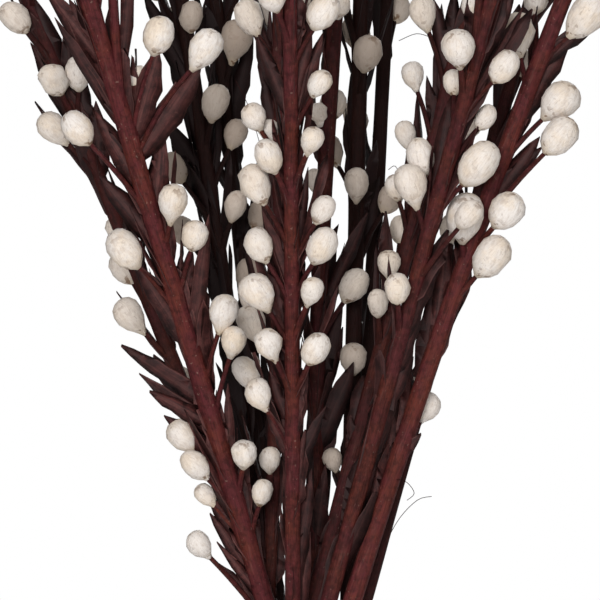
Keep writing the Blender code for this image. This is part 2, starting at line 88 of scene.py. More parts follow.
# The vase's inside from its floor to the lip, as (radius, height) in metres.
INSIDE = (
    (0.040, 0.007), (0.050, 0.020), (0.056, 0.060), (0.045, 0.100), (0.0265, 0.130),
    (0.0215, 0.149), (0.0225, 0.164), (0.0262, 0.1735))
FOOT_Z = FLOOR_Z + 0.8 * MM
STRAIGHTEN = 2.5
STEM_TAPER = 0.25
TIP_TAPER = 0.28
TIP_SHARE = 0.7


def stem_radius(stick, z):
    share = (z - FOOT_Z) / (stick.top - FOOT_Z)
    near_tip = max(0.0, share - TIP_SHARE) / (1 - TIP_SHARE)
    return stick.radius * MM * (1 - STEM_TAPER * share - TIP_TAPER * near_tip)


def free_place(stick, z):
    """Where the stick would be with nothing beside it. In the vase it straightens towards its foot."""
    up = z - NECK_Z
    along = up if up > 0 else up + STRAIGHTEN * up * up
    bent = max(up, 0.0) ** 2
    return [stick.neck[i] + stick.lean[i] * along + stick.bend[i] * bent for i in (0, 1)]


thickest = max(STICKS.values(), key=lambda stick: stick.radius)
print("thickest foot", round(2 * stem_radius(thickest, FOOT_Z) / MM, 1), "mm across")

# %% [markdown]
# Thirteen free lines would run through each other in the neck, as they would in a hand that lets
# them slip. So the lines press each other aside, a little in each round, and keep inside the wall.
# What moved each line is then eased along it, so that none gets a kink.

# %% Sticks settled in the vase
STEM_CLEARANCE = 0.6 * MM
WALL_CLEARANCE = 1.3 * MM
LEVEL_STEP = 8 * MM
SETTLING_ROUNDS = 400
SETTLING_MARGIN = 1.06
SETTLING_STEP = 0.5
TINY = 1e-9


def settled_sticks():
    """Heights, and each stick's place at them, once all press each other aside within the wall."""
    highest = max(stick.top for stick in STICKS.values())
    heights = np.arange(FOOT_Z, highest + LEVEL_STEP, LEVEL_STEP)
    free = np.array([[free_place(stick, z) for z in heights] for stick in STICKS.values()])
    radii = np.array([[stem_radius(stick, z) for z in heights] for stick in STICKS.values()])
    walls, levels = zip(*INSIDE)
    room = np.where(heights <= RIM_Z, np.interp(heights, levels, walls), 1.0) - radii - WALL_CLEARANCE
    places = free.copy()
    for _ in range(SETTLING_ROUNDS):
        shifts = np.zeros_like(places)
        for i in range(len(places)):
            for j in range(i + 1, len(places)):
                apart = places[i] - places[j]
                distance = np.linalg.norm(apart, axis=1) + TINY
                wanted = (radii[i] + radii[j] + STEM_CLEARANCE) * SETTLING_MARGIN
                lack = np.clip(wanted - distance, 0, None) / 2
                push = apart / distance[:, None] * lack[:, None] * SETTLING_STEP
                shifts[i] += push
                shifts[j] -= push
        places += shifts
        out = np.linalg.norm(places, axis=2) + TINY
        places *= np.minimum(1, room / out)[:, :, None]
        offsets = places - free
        eased = offsets.copy()
        eased[:, 1:-1] = 0.5 * offsets[:, 1:-1] + 0.25 * (offsets[:, :-2] + offsets[:, 2:])
        eased[:, 0] = 0.5 * (offsets[:, 0] + offsets[:, 1])
        places = free + eased
    return heights, dict(zip(STICKS, places))


heights, places = settled_sticks()
print("sticks", len(places), "settled at", len(heights), "heights")

# %% [markdown]
# ## The sprigs
#
# On the real stick a sprig grows every 15 mm or so, and each stands about 137.5 degrees round from
# the last, the turn by which most plants space their leaves. The pods that face the front are listed
# one by one, by how far across and how high each stands, so the fan looks like this very bunch. A rule
# with a seeded draw fills the back and the tops. A sprig stays only where it clears other sticks.

# %% Pods set one by one
# Pods on the front of the fan, as (across, height, width) in millimetres. A pod stands in front of
# its stick, unless a last value says that it is behind.
FRONT, BEHIND = -1, 1
SHOWN_PODS = {
    "left_stick": (
        (-84, 369, 8.0), (-73, 351, 8.3), (-66, 353, 8.0), (-73, 337, 8.5),
        (-55, 308, 7.0, BEHIND), (-53, 297, 8.0, BEHIND), (-51, 283, 8.7), (-37, 265, 7.0, BEHIND)),
    "left_front_stick": (
        (-65, 336, 8.6), (-52, 302, 9.6), (-38, 315, 9.1), (-32, 306, 7.8),
        (-42, 362, 9.1), (-29, 358, 9.7), (-48, 350, 6.5, BEHIND), (-36, 249, 8.0, BEHIND),
        (-32, 241, 7.5), (-29, 232, 6.0, BEHIND), (-31, 218, 7.0), (-24, 284, 8.6),
        (-21, 276, 7.4), (-18, 244, 7.4), (-13, 233, 6.5)),
    "left_inner_stick": (
        (-27, 345, 8.6), (-21, 336, 7.4), (-38, 370, 7.0, BEHIND), (-34, 370, 7.0),
        (-39, 326, 7.5), (-21, 315, 7.0)),
    "back_left_stick": (
        (-21, 364, 9.7), (-30, 333, 6.0), (-14, 313, 7.4), (-17, 268, 7.0)),
    "centre_left_stick": (
        (-17, 369, 8.6), (-16, 281, 8.6), (-11, 242, 6.5)),
    "front_stick": (
        (-10, 372, 8.6), (-11, 335, 6.0, BEHIND), (-11, 328, 8.0), (-15, 320, 9.1),
        (-14, 303, 8.2), (-14, 290, 9.6), (-11, 275, 8.0), (-14, 261, 8.0),
        (4, 368, 8.6), (3, 348, 6.8), (-1, 348, 6.0, BEHIND), (1, 332, 7.0),
        (4, 313, 6.6), (4, 303, 9.0), (1, 290, 7.0), (2, 274, 8.6)),
    "middle_stick": (
        (9, 372, 6.0), (3, 341, 5.5), (2, 322, 5.5), (13, 292, 8.0),
        (5, 227, 5.5)),
    "back_inner_stick": (
        (17, 359, 9.3), (14, 321, 7.5), (13, 271, 8.0), (7, 242, 6.5)),
    "right_back_stick": (
        (23, 298, 7.0), (20, 287, 6.5), (25, 320, 6.5), (33, 325, 7.5, BEHIND),
        (30, 352, 7.0), (28, 335, 6.6), (33, 370, 8.6)),
    "right_front_stick": (
        (25, 291, 7.7), (29, 320, 9.7), (42, 358, 9.7), (41, 349, 6.5, BEHIND),
        (46, 370, 6.5, BEHIND), (55, 353, 8.0), (48, 326, 10.9), (50, 339, 6.0, BEHIND)),
    "right_stick": (
        (44, 311, 11.5), (59, 363, 10.8), (56, 313, 9.7), (52, 300, 10.3),
        (71, 344, 10.8), (71, 334, 10.0), (79, 368, 11.4), (28, 262, 7.0, BEHIND),
        (34, 257, 7.8, BEHIND), (37, 288, 6.0, BEHIND)),
}

# Side branches, as (across, height, pod width, height of the root, radius) in millimetres.
BRANCHES = {
    "left_front_stick": ((-55, 404, 8.0, 340, 1.7, BEHIND),),
    "right_front_stick": ((50, 418, 8.0, 352, 1.5, BEHIND),),
    "back_stick": ((15, 452, 7.5, 385, 1.5),),
    "left_stick": ((-85, 438, 7.5, 372, 1.5, BEHIND),),
}


def hand_set(table, sizes):
    """Each row of a table as its stick, so many sizes in metres, and its facing."""
    for name, rows in table.items():
        for row in rows:
            yield (name, *(size * MM for size in row[:sizes]), (*row, FRONT)[sizes])


print("pods set by hand", len(list(hand_set(SHOWN_PODS, 3))))

# %% [markdown]
# A new sprig may not run through another stick. Its mesh could be tested with a BVH tree, but that
# needs the meshes first. So a layout keeps what has been placed as rows of spheres, four numbers
# each. To test a new sprig, its own spheres are measured against every row of the other sticks at
# once. That is rough, and quick enough for hundreds of sprigs.

# %% Room among the sticks
SPRIG_CLEARANCE = 0.6 * MM
STEM_SPHERE_STEP = 2 * MM
UP_STEP = 5 * MM

layout = SimpleNamespace(
    clearance=SPRIG_CLEARANCE, missed=[], rows={}, taken={name: [] for name in STICKS},
    sprigs={name: [] for name in STICKS}, leaves={name: [] for name in STICKS})


def centre(name, z):
    """The middle of the stick at this height."""
    x, y = (np.interp(z, heights, places[name][:, i]) for i in (0, 1))
    return Vector((x, y, z))


def way_up(name, root, z):
    """The direction in which the stick grows from a root at this height."""
    return (centre(name, z + UP_STEP) - root).normalized()


def take(name, spheres):
    """Marks the spheres as room that this stick has taken."""
    layout.taken[name] += spheres
    layout.rows[name] = np.array(layout.taken[name])[None]


def clears(name, spheres):
    """True where no sphere meets one of another stick's."""
    mine = np.array(spheres)[:, None]
    for other, theirs in layout.rows.items():
        apart = np.linalg.norm(mine[..., :3] - theirs[..., :3], axis=2)
        if other != name and (apart - mine[..., 3] - theirs[..., 3]).min() < layout.clearance:
            return False
    return True


def stem_spheres(name):
    stick = STICKS[name]
    levels = np.arange(FOOT_Z, stick.top, STEM_SPHERE_STEP)
    return [(*centre(name, z), stem_radius(stick, z)) for z in levels]


for name in STICKS:
    take(name, stem_spheres(name))
print("stem spheres", sum(len(spheres) for spheres in layout.taken.values()))

# %% [markdown]
# A leaf is flat, so three small spheres across its blade stand for it at each of a few stations. The
# leaf of a sprig grows from the stalk's own node, a little to one side of it, and tries other turns
# where its blade would meet a stick. In the photographed stretch it keeps off the bare front of its
# stem, and doesn't widen the fan at its right edge.

# %% Leaf of a sprig
Leaf = namedtuple("Leaf", "root tip side width bow whole", defaults=[0.0, False])
LEAF_STATIONS = (
    (0.3, 0.3), (0.4, 0.42), (0.5, 0.48), (0.6, 0.48), (0.7, 0.46), (0.8, 0.4), (0.9, 0.25), (1, 0.1))
SPHERE_SIDES = (-0.6, 0, 0.6)
SPHERE_SIZE = 0.42
LEAF_REACH = (25 * MM, 38 * MM)
LEAF_WIDTH = (4.2 * MM, 5.8 * MM)
LEAF_ANGLE = (11, 22)
LEAF_TURN = (25, 45)
LEAF_TWIST = 0.8
SHOWN_BELOW = 0.375
BARE_FRONT = -0.35
EDGE_STICK = "right_stick"
EDGE_ROOM = 5 * MM


def blade_spheres(leaf, stations):
    """Three small spheres across the flat blade at each (share of its length, share of its width)."""
    out = (leaf.tip - leaf.root).cross(leaf.side)
    spheres = []
    for t, r in stations:
        middle = leaf.root.lerp(leaf.tip, t) + out * (leaf.bow * 4 * t * (1 - t))
        for aside in SPHERE_SIDES:
            place = middle + leaf.side * (leaf.width * r * aside)
            spheres.append((*place, leaf.width * r * SPHERE_SIZE))
    return spheres


def keep_leaf(name, leaf):
    """True, and the leaf's room is taken, where its flat blade meets no other stick."""
    spheres = blade_spheres(leaf, LEAF_STATIONS)
    clear = clears(name, spheres)
    if clear:
        take(name, spheres)
    return clear


def compass(azimuth):
    """The level direction at this azimuth."""
    return Vector((math.cos(azimuth), math.sin(azimuth), 0))


def leaf_at(chance, name, root, facing):
    """A leaf from the root, turned a little from the pod's side, or None where nothing is clear."""
    reach = chance.uniform(*LEAF_REACH)
    width = chance.uniform(*LEAF_WIDTH)
    angle = math.radians(chance.uniform(*LEAF_ANGLE))
    turn = chance.choice((-1, 1)) * chance.uniform(*LEAF_TURN)
    twist = chance.uniform(-LEAF_TWIST, LEAF_TWIST)
    up = way_up(name, root, root.z)
    for swing in (turn, -turn, 0, 2 * turn, -2 * turn):
        outward = compass(facing + math.radians(swing))
        tip = root + (up * math.cos(angle) + outward * math.sin(angle)) * reach
        past_edge = tip.x > centre(EDGE_STICK, tip.z).x + EDGE_ROOM
        if root.z < SHOWN_BELOW and (past_edge or outward.y < BARE_FRONT):
            continue
        leaf = Leaf(root, tip, (up.cross(outward) + outward * twist).normalized(), width)
        if keep_leaf(name, leaf):
            return leaf
    return None


print("spheres for each leaf", len(LEAF_STATIONS) * len(SPHERE_SIDES))

# %% [markdown]
# A sprig is worked out from its pod. The further the pod stands from its stem, the lower the stalk
# leaves the stem, as on a real sprig, which rises steeply and then bows out.

# %% A sprig
Sprig = namedtuple("Sprig", "root stalk_radius pod_base pod_tip pod_width leaf")
POD_SLENDERNESS = (1.1, 1.33)
RISE_PER_REACH = 1.9
RISE_LIMITS = (16 * MM, 31 * MM)
STALK_RADIUS = 0.9 * MM
STALK_START = 0.3
STALK_SPHERES = 9
BRANCH_SPHERES = 30
POD_SPHERES = ((0.2, 0.55), (0.5, 1.0), (0.75, 0.85))


def pod_is_free(name, middle, width):
    """True where the pod leaves room for the other pods of its own stick."""
    return all((middle - (s.pod_base + s.pod_tip) / 2).length > 0.5 * (width + s.pod_width)
               for s in layout.sprigs[name])


def sprig_at(chance, name, middle, width, root_z=None, stalk_radius=STALK_RADIUS):
    """The sprig whose pod has this middle, or None where it meets another stick."""
    length = width * chance.uniform(*POD_SLENDERNESS)
    beside = centre(name, middle.z)
    reach = Vector((middle.x - beside.x, middle.y - beside.y, 0))
    rise = min(max(reach.length * RISE_PER_REACH, RISE_LIMITS[0]), RISE_LIMITS[1])
    root = centre(name, root_z or middle.z - rise)
    along = (middle - root).normalized()
    pod_base, pod_tip = middle - along * length / 2, middle + along * length / 2
    shares = np.linspace(STALK_START, 1, STALK_SPHERES if root_z is None else BRANCH_SPHERES)
    spheres = [(*root.lerp(pod_base, t), stalk_radius) for t in shares]
    spheres += [(*pod_base.lerp(pod_tip, t), width / 2 * r) for t, r in POD_SPHERES]
    if not clears(name, spheres):
        return None
    take(name, spheres)
    leaf = leaf_at(chance, name, root, math.atan2(reach.y, reach.x))
    return Sprig(root, stalk_radius, pod_base, pod_tip, width, leaf)


print("spheres for each stalk", STALK_SPHERES, "and for each pod", len(POD_SPHERES))

# %% [markdown]
# A listed pod has no depth of its own in a picture, so a few depths are tried until the sprig
# is clear. The ones that never clear are kept in a list for later. A side branch is the same sprig
# with a long thick stalk.

# %% Sprigs set one by one
SEED = 21
NEAREST_POD = 8.4 * MM
LEAST_DEPTH = 2 * MM
POD_DEPTHS = (0, 1, 2, -2, 3, 4, 6, 8, -4)
BRANCH_DEPTHS = (3, 5, 7, 9, 1)


def add_branch(chance, name, across, height, width, root_z, radius, facing):
    beside = centre(name, height)
    for depth in BRANCH_DEPTHS:
        middle = Vector((across, beside.y + facing * depth * MM, height))
        sprig = sprig_at(chance, name, middle, width, root_z, radius)
        if sprig:
            layout.sprigs[name].append(sprig)
            return


def add_shown_pod(chance, name, across, height, width, facing):
    beside = centre(name, height)
    side = across - beside.x
    depth = math.sqrt(max(NEAREST_POD ** 2 - side ** 2, LEAST_DEPTH ** 2))
    for further in POD_DEPTHS:
        middle = Vector((across, beside.y + facing * (depth + further * MM), height))
        if not pod_is_free(name, middle, width):
            continue
        sprig = sprig_at(chance, name, middle, width)
        if sprig:
            layout.sprigs[name].append(sprig)
            return
    layout.missed.append((name, across, height, width, facing))


def count(table):
    return sum(len(items) for items in table.values())


chance = random.Random(SEED)
for row in hand_set(BRANCHES, 5):
    add_branch(chance, *row)
for row in hand_set(SHOWN_PODS, 3):
    add_shown_pod(chance, *row)
print("sprigs set by hand", count(layout.sprigs), "and still to place", len(layout.missed))

# %% [markdown]
# Some leaves stand out of the fan on their own, and their outline is what the eye knows the bunch
# by. They are listed too, by root and tip, and their blade faces the front. Like the pods, each
# tries a few depths until it is clear.

# %% Leaves set one by one
LEAF_DEPTHS = (2, 4, 6, 8, 0, -2)
LEAF_TILT = 0.3

# Single leaves, as (root height, tip across, tip height, width) in millimetres.
SHOWN_LEAVES = {
    "left_front_stick": (
        (259, -53, 275, 5.0, BEHIND), (252, -45, 262, 4.2), (242, -41, 255, 4.8, BEHIND),
        (331, -42, 358, 7.6), (327, -30, 354, 7.8), (335, -71, 367, 4.0),
        (352, -74, 376, 5.5, BEHIND), (316, -60, 339, 5.0, BEHIND), (303, -59, 323, 5.6, BEHIND),
        (275, -49, 299, 6.2), (273, -28, 312, 4.6), (285, -36, 301, 3.4, BEHIND),
        (223, -29, 246, 3.4, BEHIND), (213, -29, 233, 4.8, BEHIND), (202, -26, 219, 3.0)),
    "right_stick": ((317, 66, 331, 3.8), (354, 76, 363, 3.8), (243, 32, 250, 3.4)),
    "front_stick": (
        (290, -13, 313, 4.0, BEHIND), (339, -14, 361, 4.2, BEHIND), (292, 0, 325, 4.0, BEHIND),
        (242, -12, 258, 3.8), (250, -11, 268, 4.0, BEHIND), (238, 5, 258, 4.0, BEHIND)),
    "middle_stick": (
        (282, 17, 313, 4.2), (243, 13, 270, 6.0), (262, 10, 288, 5.0, BEHIND)),
    "right_back_stick": ((243, 12, 255, 3.6), (247, 15, 261, 4.6, BEHIND)),
}


def add_shown_leaf(name, root_z, across, height, width, facing):
    root, beside = centre(name, root_z), centre(name, height)
    for depth in LEAF_DEPTHS:
        tip = Vector((across, beside.y + facing * depth * MM, height))
        outward = (tip - root).normalized()
        side = outward.cross(Vector((0, 1, 0))) + outward.cross(Vector((0, 0, 1))) * LEAF_TILT
        leaf = Leaf(root, tip, side.normalized(), width, 0.0, True)
        if keep_leaf(name, leaf):
            layout.leaves[name].append(leaf)
            return


for row in hand_set(SHOWN_LEAVES, 4):
    add_shown_leaf(*row)
print("leaves set by hand", count(layout.leaves))

# %% [markdown]
# The rest of each stick follows the rule. Going up, each sprig is turned by the golden angle from
# the last and drawn a little nearer or further. Where it isn't clear, it swings to either side before
# it is given up. The rule leaves out the front that was set one by one and the edges of the fan there,
# and its sprigs get smaller near the tip. One pod ends every stick.

# %% Sprigs by rule
POD_WIDTH = (7.2 * MM, 9.4 * MM)
POD_REACH = (8.6 * MM, 12.0 * MM)
FIRST_SPRIG_Z = 0.285
SPRIG_SPACING = 15 * MM
SPACING_SPREAD = (0.8, 1.2)
GOLDEN_ANGLE = math.radians(137.5)
AZIMUTH_SPREAD = 0.3
SPRIG_SWINGS = (0, 25, -25, 50, -50, 80, -80)
FRONT_SINE = 0.15
FAN_EDGE_START = 0.165
FAN_EDGE_SLOPE = 0.36
SMALLER_FROM = 110 * MM
NEAREST_SHARE = 0.62
SMALLEST_SHARE = 0.75
TIP_ROOM = 30 * MM
TIP_LENGTH = 20 * MM
TIP_ASIDE = 1.5 * MM


def add_tip_sprig(chance, name):
    """One pod ends the stick, nearly in line with it."""
    top = STICKS[name].top
    tip, below = centre(name, top), centre(name, top - TIP_LENGTH)
    aside = Vector((chance.uniform(-1, 1), chance.uniform(-1, 1), 0)) * TIP_ASIDE
    middle = tip + (tip - below) * 0.5 + aside
    sprig = sprig_at(chance, name, middle, POD_WIDTH[0])
    if sprig:
        layout.sprigs[name].insert(0, sprig)


def add_rule_sprig(chance, name, height, azimuth, near_tip):
    for swing in SPRIG_SWINGS:
        turned = azimuth + math.radians(swing)
        reach = chance.uniform(*POD_REACH) * (NEAREST_SHARE + (1 - NEAREST_SHARE) * near_tip)
        width = chance.uniform(*POD_WIDTH) * (SMALLEST_SHARE + (1 - SMALLEST_SHARE) * near_tip)
        middle = centre(name, min(height, STICKS[name].top)) + compass(turned) * reach
        middle.z = height
        outside = abs(middle.x) + width / 2 > FAN_EDGE_SLOPE * (height - FAN_EDGE_START)
        if (height < SHOWN_BELOW and outside) or not pod_is_free(name, middle, width):
            continue
        sprig = sprig_at(chance, name, middle, width)
        if sprig:
            layout.sprigs[name].append(sprig)
            return


def add_sprigs_by_rule(chance, name):
    top = STICKS[name].top
    azimuth = chance.uniform(0, math.tau)
    height = FIRST_SPRIG_Z + chance.uniform(0, SPRIG_SPACING)
    while height < top + 2 * MM:
        shown = height < SHOWN_BELOW and math.sin(azimuth) < FRONT_SINE
        if not shown:
            near_tip = min(1.0, (top + TIP_ROOM - height) / SMALLER_FROM)
            add_rule_sprig(chance, name, height, azimuth, near_tip)
        azimuth += GOLDEN_ANGLE + chance.uniform(-AZIMUTH_SPREAD, AZIMUTH_SPREAD)
        height += SPRIG_SPACING * chance.uniform(*SPACING_SPREAD)


for name in STICKS:
    add_tip_sprig(chance, name)
    add_sprigs_by_rule(chance, name)
print("sprigs", count(layout.sprigs))

# %% [markdown]
# ## More leaves
#
# The real bunch is far denser than its solids: torn leaves with no pod crowd every stem, and long
# straps that lie along the stems fill the space between them nearly black. Here they are drawn last,
# which changes none of the draws above. Leaves may cross each other in the dark, as real ones do, but
# each has to clear the stems, stalks and pods. Those are sorted by height, so one test reads few.

# %% Room for a blade
BLADE_STATIONS = (
    (0.12, 0.36), (0.25, 0.46), (0.38, 0.5), (0.5, 0.48), (0.62, 0.42), (0.75, 0.32), (0.88, 0.2),
    (1, 0.06))
BLADE_CLEARANCE = 0.1 * MM
LARGEST_SPHERE = 7 * MM
FINE_STALK_SPHERES = 12
FINE_POD_SPHERES = ((0.1, 0.5), (0.3, 0.85), (0.5, 1.0), (0.7, 0.95), (0.9, 0.6))


def firm_spheres():
    """Stems, stalks and pods as (x, y, z, radius, stick's number, 1 for a pod), sorted by height."""
    rows = []
    for number, name in enumerate(STICKS):
        rows += [(*sphere, number, 0) for sphere in stem_spheres(name)]
        for sprig in layout.sprigs[name]:
            for t in np.linspace(STALK_START, 1, FINE_STALK_SPHERES):
                rows.append((*sprig.root.lerp(sprig.pod_base, t), sprig.stalk_radius, number, 0))
            for t, r in FINE_POD_SPHERES:
                place = sprig.pod_base.lerp(sprig.pod_tip, t)
                rows.append((*place, sprig.pod_width / 2 * r, number, 1))
    return np.array(sorted(rows, key=lambda row: row[2]))


def blade_is_free(firm, number, leaf):
    mine = np.array(blade_spheres(leaf, BLADE_STATIONS))
    reach = (mine[:, 2].min() - LARGEST_SPHERE, mine[:, 2].max() + LARGEST_SPHERE)
    first, last = np.searchsorted(firm[:, 2], reach)
    near = firm[first:last]
    near = near[(near[:, 4] != number) | (near[:, 5] == 1)]
    if not len(near):
        return True
    apart = np.linalg.norm(mine[:, None, :3] - near[None, :, :3], axis=2)
    return (apart - mine[:, None, 3] - near[None, :, 3]).min() > BLADE_CLEARANCE


print("spheres for each blade", len(BLADE_STATIONS) * len(SPHERE_SIDES))

# %% [markdown]
# A dense bunch still has its clear places. No leaf drawn by rule may stand in front of a listed pod,
# lie on the bare face of a front stem, widen the fan at its right edge, or fill one of the few slits
# where this bunch is open to the light.

# %% What stays open
IN_VIEW_SHARE = 0.75
IN_FRONT_ROOM = 5 * MM
BARE_STICKS = (
    "left_front_stick", "front_stick", "right_front_stick", "right_stick", "centre_left_stick")
BARE_BELOW = 0.395
BARE_FACE = 1.5 * MM
BARE_EDGE = 3.8 * MM

# Open slits, as (across at the low end, across at the high end, low, high, half width) in millimetres.
OPEN_SLITS = (
    (8.1, 8.5, 306, 346, 2.6), (24.3, 24.3, 302, 316, 2.6), (7.5, 9.5, 281, 304, 1.8),
    (9.2, 9.2, 346, 360, 1.8), (-14.5, -20.5, 333, 362, 1.8), (-21, -24, 288, 310, 1.2),
    (20.5, 22.5, 327, 362, 0.8), (-51, -43, 275, 266, 0.8), (-55, -55.7, 358, 376, 1.6),
    (-37, -32, 325, 310, 1.5), (71, 75, 360, 374, 1.4),
)
PODS_IN_VIEW = np.array([
    (across, centre(name, height).y, height, width / 2 * IN_VIEW_SHARE)
    for name, across, height, width, facing in hand_set(SHOWN_PODS, 3)])


def hides_a_pod(leaf):
    blade = np.array(blade_spheres(leaf, BLADE_STATIONS))[:, None]
    apart = np.hypot(blade[..., 0] - PODS_IN_VIEW[:, 0], blade[..., 2] - PODS_IN_VIEW[:, 2])
    over = apart < blade[..., 3] + PODS_IN_VIEW[:, 3]
    return bool((over & (blade[..., 1] < PODS_IN_VIEW[:, 1] + IN_FRONT_ROOM)).any())


def hides_a_stem(leaf):
    """True where the blade lies on the face of a bare stem, or widens the fan's right edge."""
    x, y, z, r = np.array(blade_spheres(leaf, BLADE_STATIONS)).T
    for name in BARE_STICKS:
        aside = x - np.interp(z, heights, places[name][:, 0])
        behind = y - np.interp(z, heights, places[name][:, 1])
        spoilt = (abs(aside) < BARE_FACE) & (behind < -BARE_FACE)
        if name == EDGE_STICK:
            spoilt |= aside + r > BARE_EDGE
        if ((z < BARE_BELOW) & spoilt).any():
            return True
    return False


def fills_a_slit(leaf):
    for x, _, z, r in blade_spheres(leaf, BLADE_STATIONS):
        for low_x, high_x, low, high, half in OPEN_SLITS:
            share = (z / MM - low) / (high - low)
            if 0 <= share <= 1 and abs(x / MM - low_x - (high_x - low_x) * share) < half + r / MM:
                return True
    return False


print("open slits", len(OPEN_SLITS), "and pods in view", len(PODS_IN_VIEW))

# %% [markdown]
# In a few places this bunch is dark from edge to edge, and a rule would leave chinks of light there.
# So the leaves that fill them are listed one by one. First come the few pods that found no place
# above, made a little smaller, and one pod more.

# %% Leaves that fill the dark
SMALLER_POD = 0.92

# In millimetres: a pod as (across, height, width), and each leaf as (root height, tip across,
# tip height, width).
ADDED_PODS = {"centre_left_stick": ((-17.5, 267, 7.8),)}
FILLING_LEAVES = {
    "left_stick": (
        (348, -79, 375, 7.0), (338, -70, 366, 6.0), (335, -80, 362, 5.5, BEHIND),
        (322, -61, 345, 6.0), (330, -66, 356, 5.5)),
    "left_front_stick": (
        (249, -48, 267, 5.0, BEHIND), (206, -28, 227, 4.5, BEHIND), (198, -26, 213, 3.6, BEHIND),
        (318, -60, 341, 6.0, BEHIND), (344, -67, 372, 6.5, BEHIND), (343, -47.7, 402, 4.0, BEHIND),
        (283, -33, 303, 4.0, BEHIND), (236, -22.8, 264, 3.4, BEHIND), (310, -41, 337, 6.0, BEHIND)),
    "left_inner_stick": (
        (334, -40, 360, 5.5, BEHIND), (310, -40, 336, 5.5, BEHIND), (345, -48, 378, 5.0, BEHIND),
        (250, -25, 276, 4.5), (330, -37, 352, 5.0), (322, -42, 341, 5.0, BEHIND),
        (240, -24, 262, 4.0), (250, -24.5, 284, 4.4), (338, -41, 364, 5.0, BEHIND)),
    "back_left_stick": ((240, -22, 264, 4.6), (346, -29, 374, 4.6), (336, -16, 368, 5.0, BEHIND)),
    "centre_left_stick": (
        (336, -14, 362, 5.0, BEHIND), (330, -13, 352, 4.5), (342, -15, 364, 4.5, BEHIND)),
    "front_stick": (
        (338, 1, 365, 4.6, BEHIND), (336, 4, 362, 4.4, BEHIND), (189, 0.6, 222, 4.6, BEHIND),
        (206, 1.0, 240, 4.6, BEHIND), (246, -0.5, 270, 4.0, BEHIND)),
    "middle_stick": (
        (212, 5, 241, 5.0), (255, 10, 280, 4.4, BEHIND), (212, 6.5, 244, 4.0, BEHIND),
        (234, 9.2, 262, 4.6)),
    "right_back_stick": ((350, 36, 374, 5.0), (336, 34, 352, 3.6), (352, 42, 378, 4.6)),
    "right_front_stick": (
        (262, 33, 292, 6.4, BEHIND), (250, 30, 278, 6.0, BEHIND), (275, 38, 306, 5.6, BEHIND),
        (238, 25, 262, 5.0, BEHIND), (220, 20, 246, 4.6, BEHIND), (350, 58, 375, 5.0, BEHIND)),
    "right_stick": (
        (262, 36, 296, 5.4, BEHIND), (222, 21, 248, 4.6, BEHIND), (338, 75, 364, 6.4, BEHIND),
        (355, 84, 369, 5.0), (312, 65.5, 334, 5.2), (272, 39.5, 306, 4.6, BEHIND),
        (228, 26.5, 270, 4.6, BEHIND)),
}

chance = random.Random(SEED)
layout.clearance = BLADE_CLEARANCE
for name, across, height, width, facing in list(layout.missed):
    add_shown_pod(chance, name, across, height, width * SMALLER_POD, facing)
for row in hand_set(ADDED_PODS, 3):
    add_shown_pod(chance, *row)
for row in hand_set(FILLING_LEAVES, 4):
    add_shown_leaf(*row)
print("leaves set by hand", count(layout.leaves), "and sprigs", count(layout.sprigs))

# %% [markdown]
# The rest of the leaves come in two kinds, short torn ones and long straps. Each kind goes up its
# stick by the golden angle, as the sprigs do, and a leaf is turned or shortened until it fits. How
# leafy each stick is was judged, and sets how close its leaves stand.

# %% Leaves with no pod
Kind = namedtuple("Kind", "start end spacing reach width angle")

# The stretch of stick is in metres, the spacing, length and width in millimetres, and the angle
# between leaf and stem in degrees.
LEAF_KINDS = (
    Kind(0.196, 0.620, 7.5, (17, 32), (4.2, 7.6), (4, 14)),
    Kind(0.184, 0.400, 7.0, (34, 64), (2.4, 4.6), (1, 6)),
)
LEAFINESS = {
    "left_front_stick": 1.0, "left_stick": 0.8, "front_stick": 0.8, "right_front_stick": 0.6,
    "right_stick": 0.3, "right_back_stick": 0.4, "back_stick": 0.3, "back_inner_stick": 0.2,
    "back_left_stick": 0.9, "left_inner_stick": 1.0, "middle_stick": 0.6, "centre_left_stick": 1.0,
    "far_right_stick": 0.4,
}
LEAF_EDGE_ROOM = 1 * MM
BLADE_BOW = (-0.02, 0.05)
BLADE_SWINGS = (0, 45, -45, 90, -90, 135, -135, 180)
SHORTENED = (1.0, 0.75)
LEAF_AZIMUTH_SPREAD = 0.4
LEAF_SPACING_SPREAD = (0.6, 1.4)
BELOW_TIP = 12 * MM


def free_leaf(chance, firm, number, name, height, azimuth, kind):
    """The first leaf of this kind, turned or shortened, that clears everything firm, or None."""
    root = centre(name, height)
    reach, width = chance.uniform(*kind.reach) * MM, chance.uniform(*kind.width) * MM
    angle = math.radians(chance.uniform(*kind.angle))
    twist, bow = chance.uniform(-LEAF_TWIST, LEAF_TWIST), chance.uniform(*BLADE_BOW)
    up = way_up(name, root, height)
    for swing in BLADE_SWINGS:
        outward = compass(azimuth + math.radians(swing))
        if height < BARE_BELOW and name in BARE_STICKS and outward.y < BARE_FRONT:
            continue
        side = (up.cross(outward) + outward * twist).normalized()
        for share in SHORTENED:
            tip = root + (up * math.cos(angle) + outward * math.sin(angle)) * reach * share
            if height < BARE_BELOW and tip.x > centre(EDGE_STICK, tip.z).x + LEAF_EDGE_ROOM:
                continue
            leaf = Leaf(root, tip, side, width * share ** 0.5, bow)
            spoils = hides_a_stem(leaf) or hides_a_pod(leaf) or fills_a_slit(leaf)
            if not spoils and blade_is_free(firm, number, leaf):
                return leaf
    return None


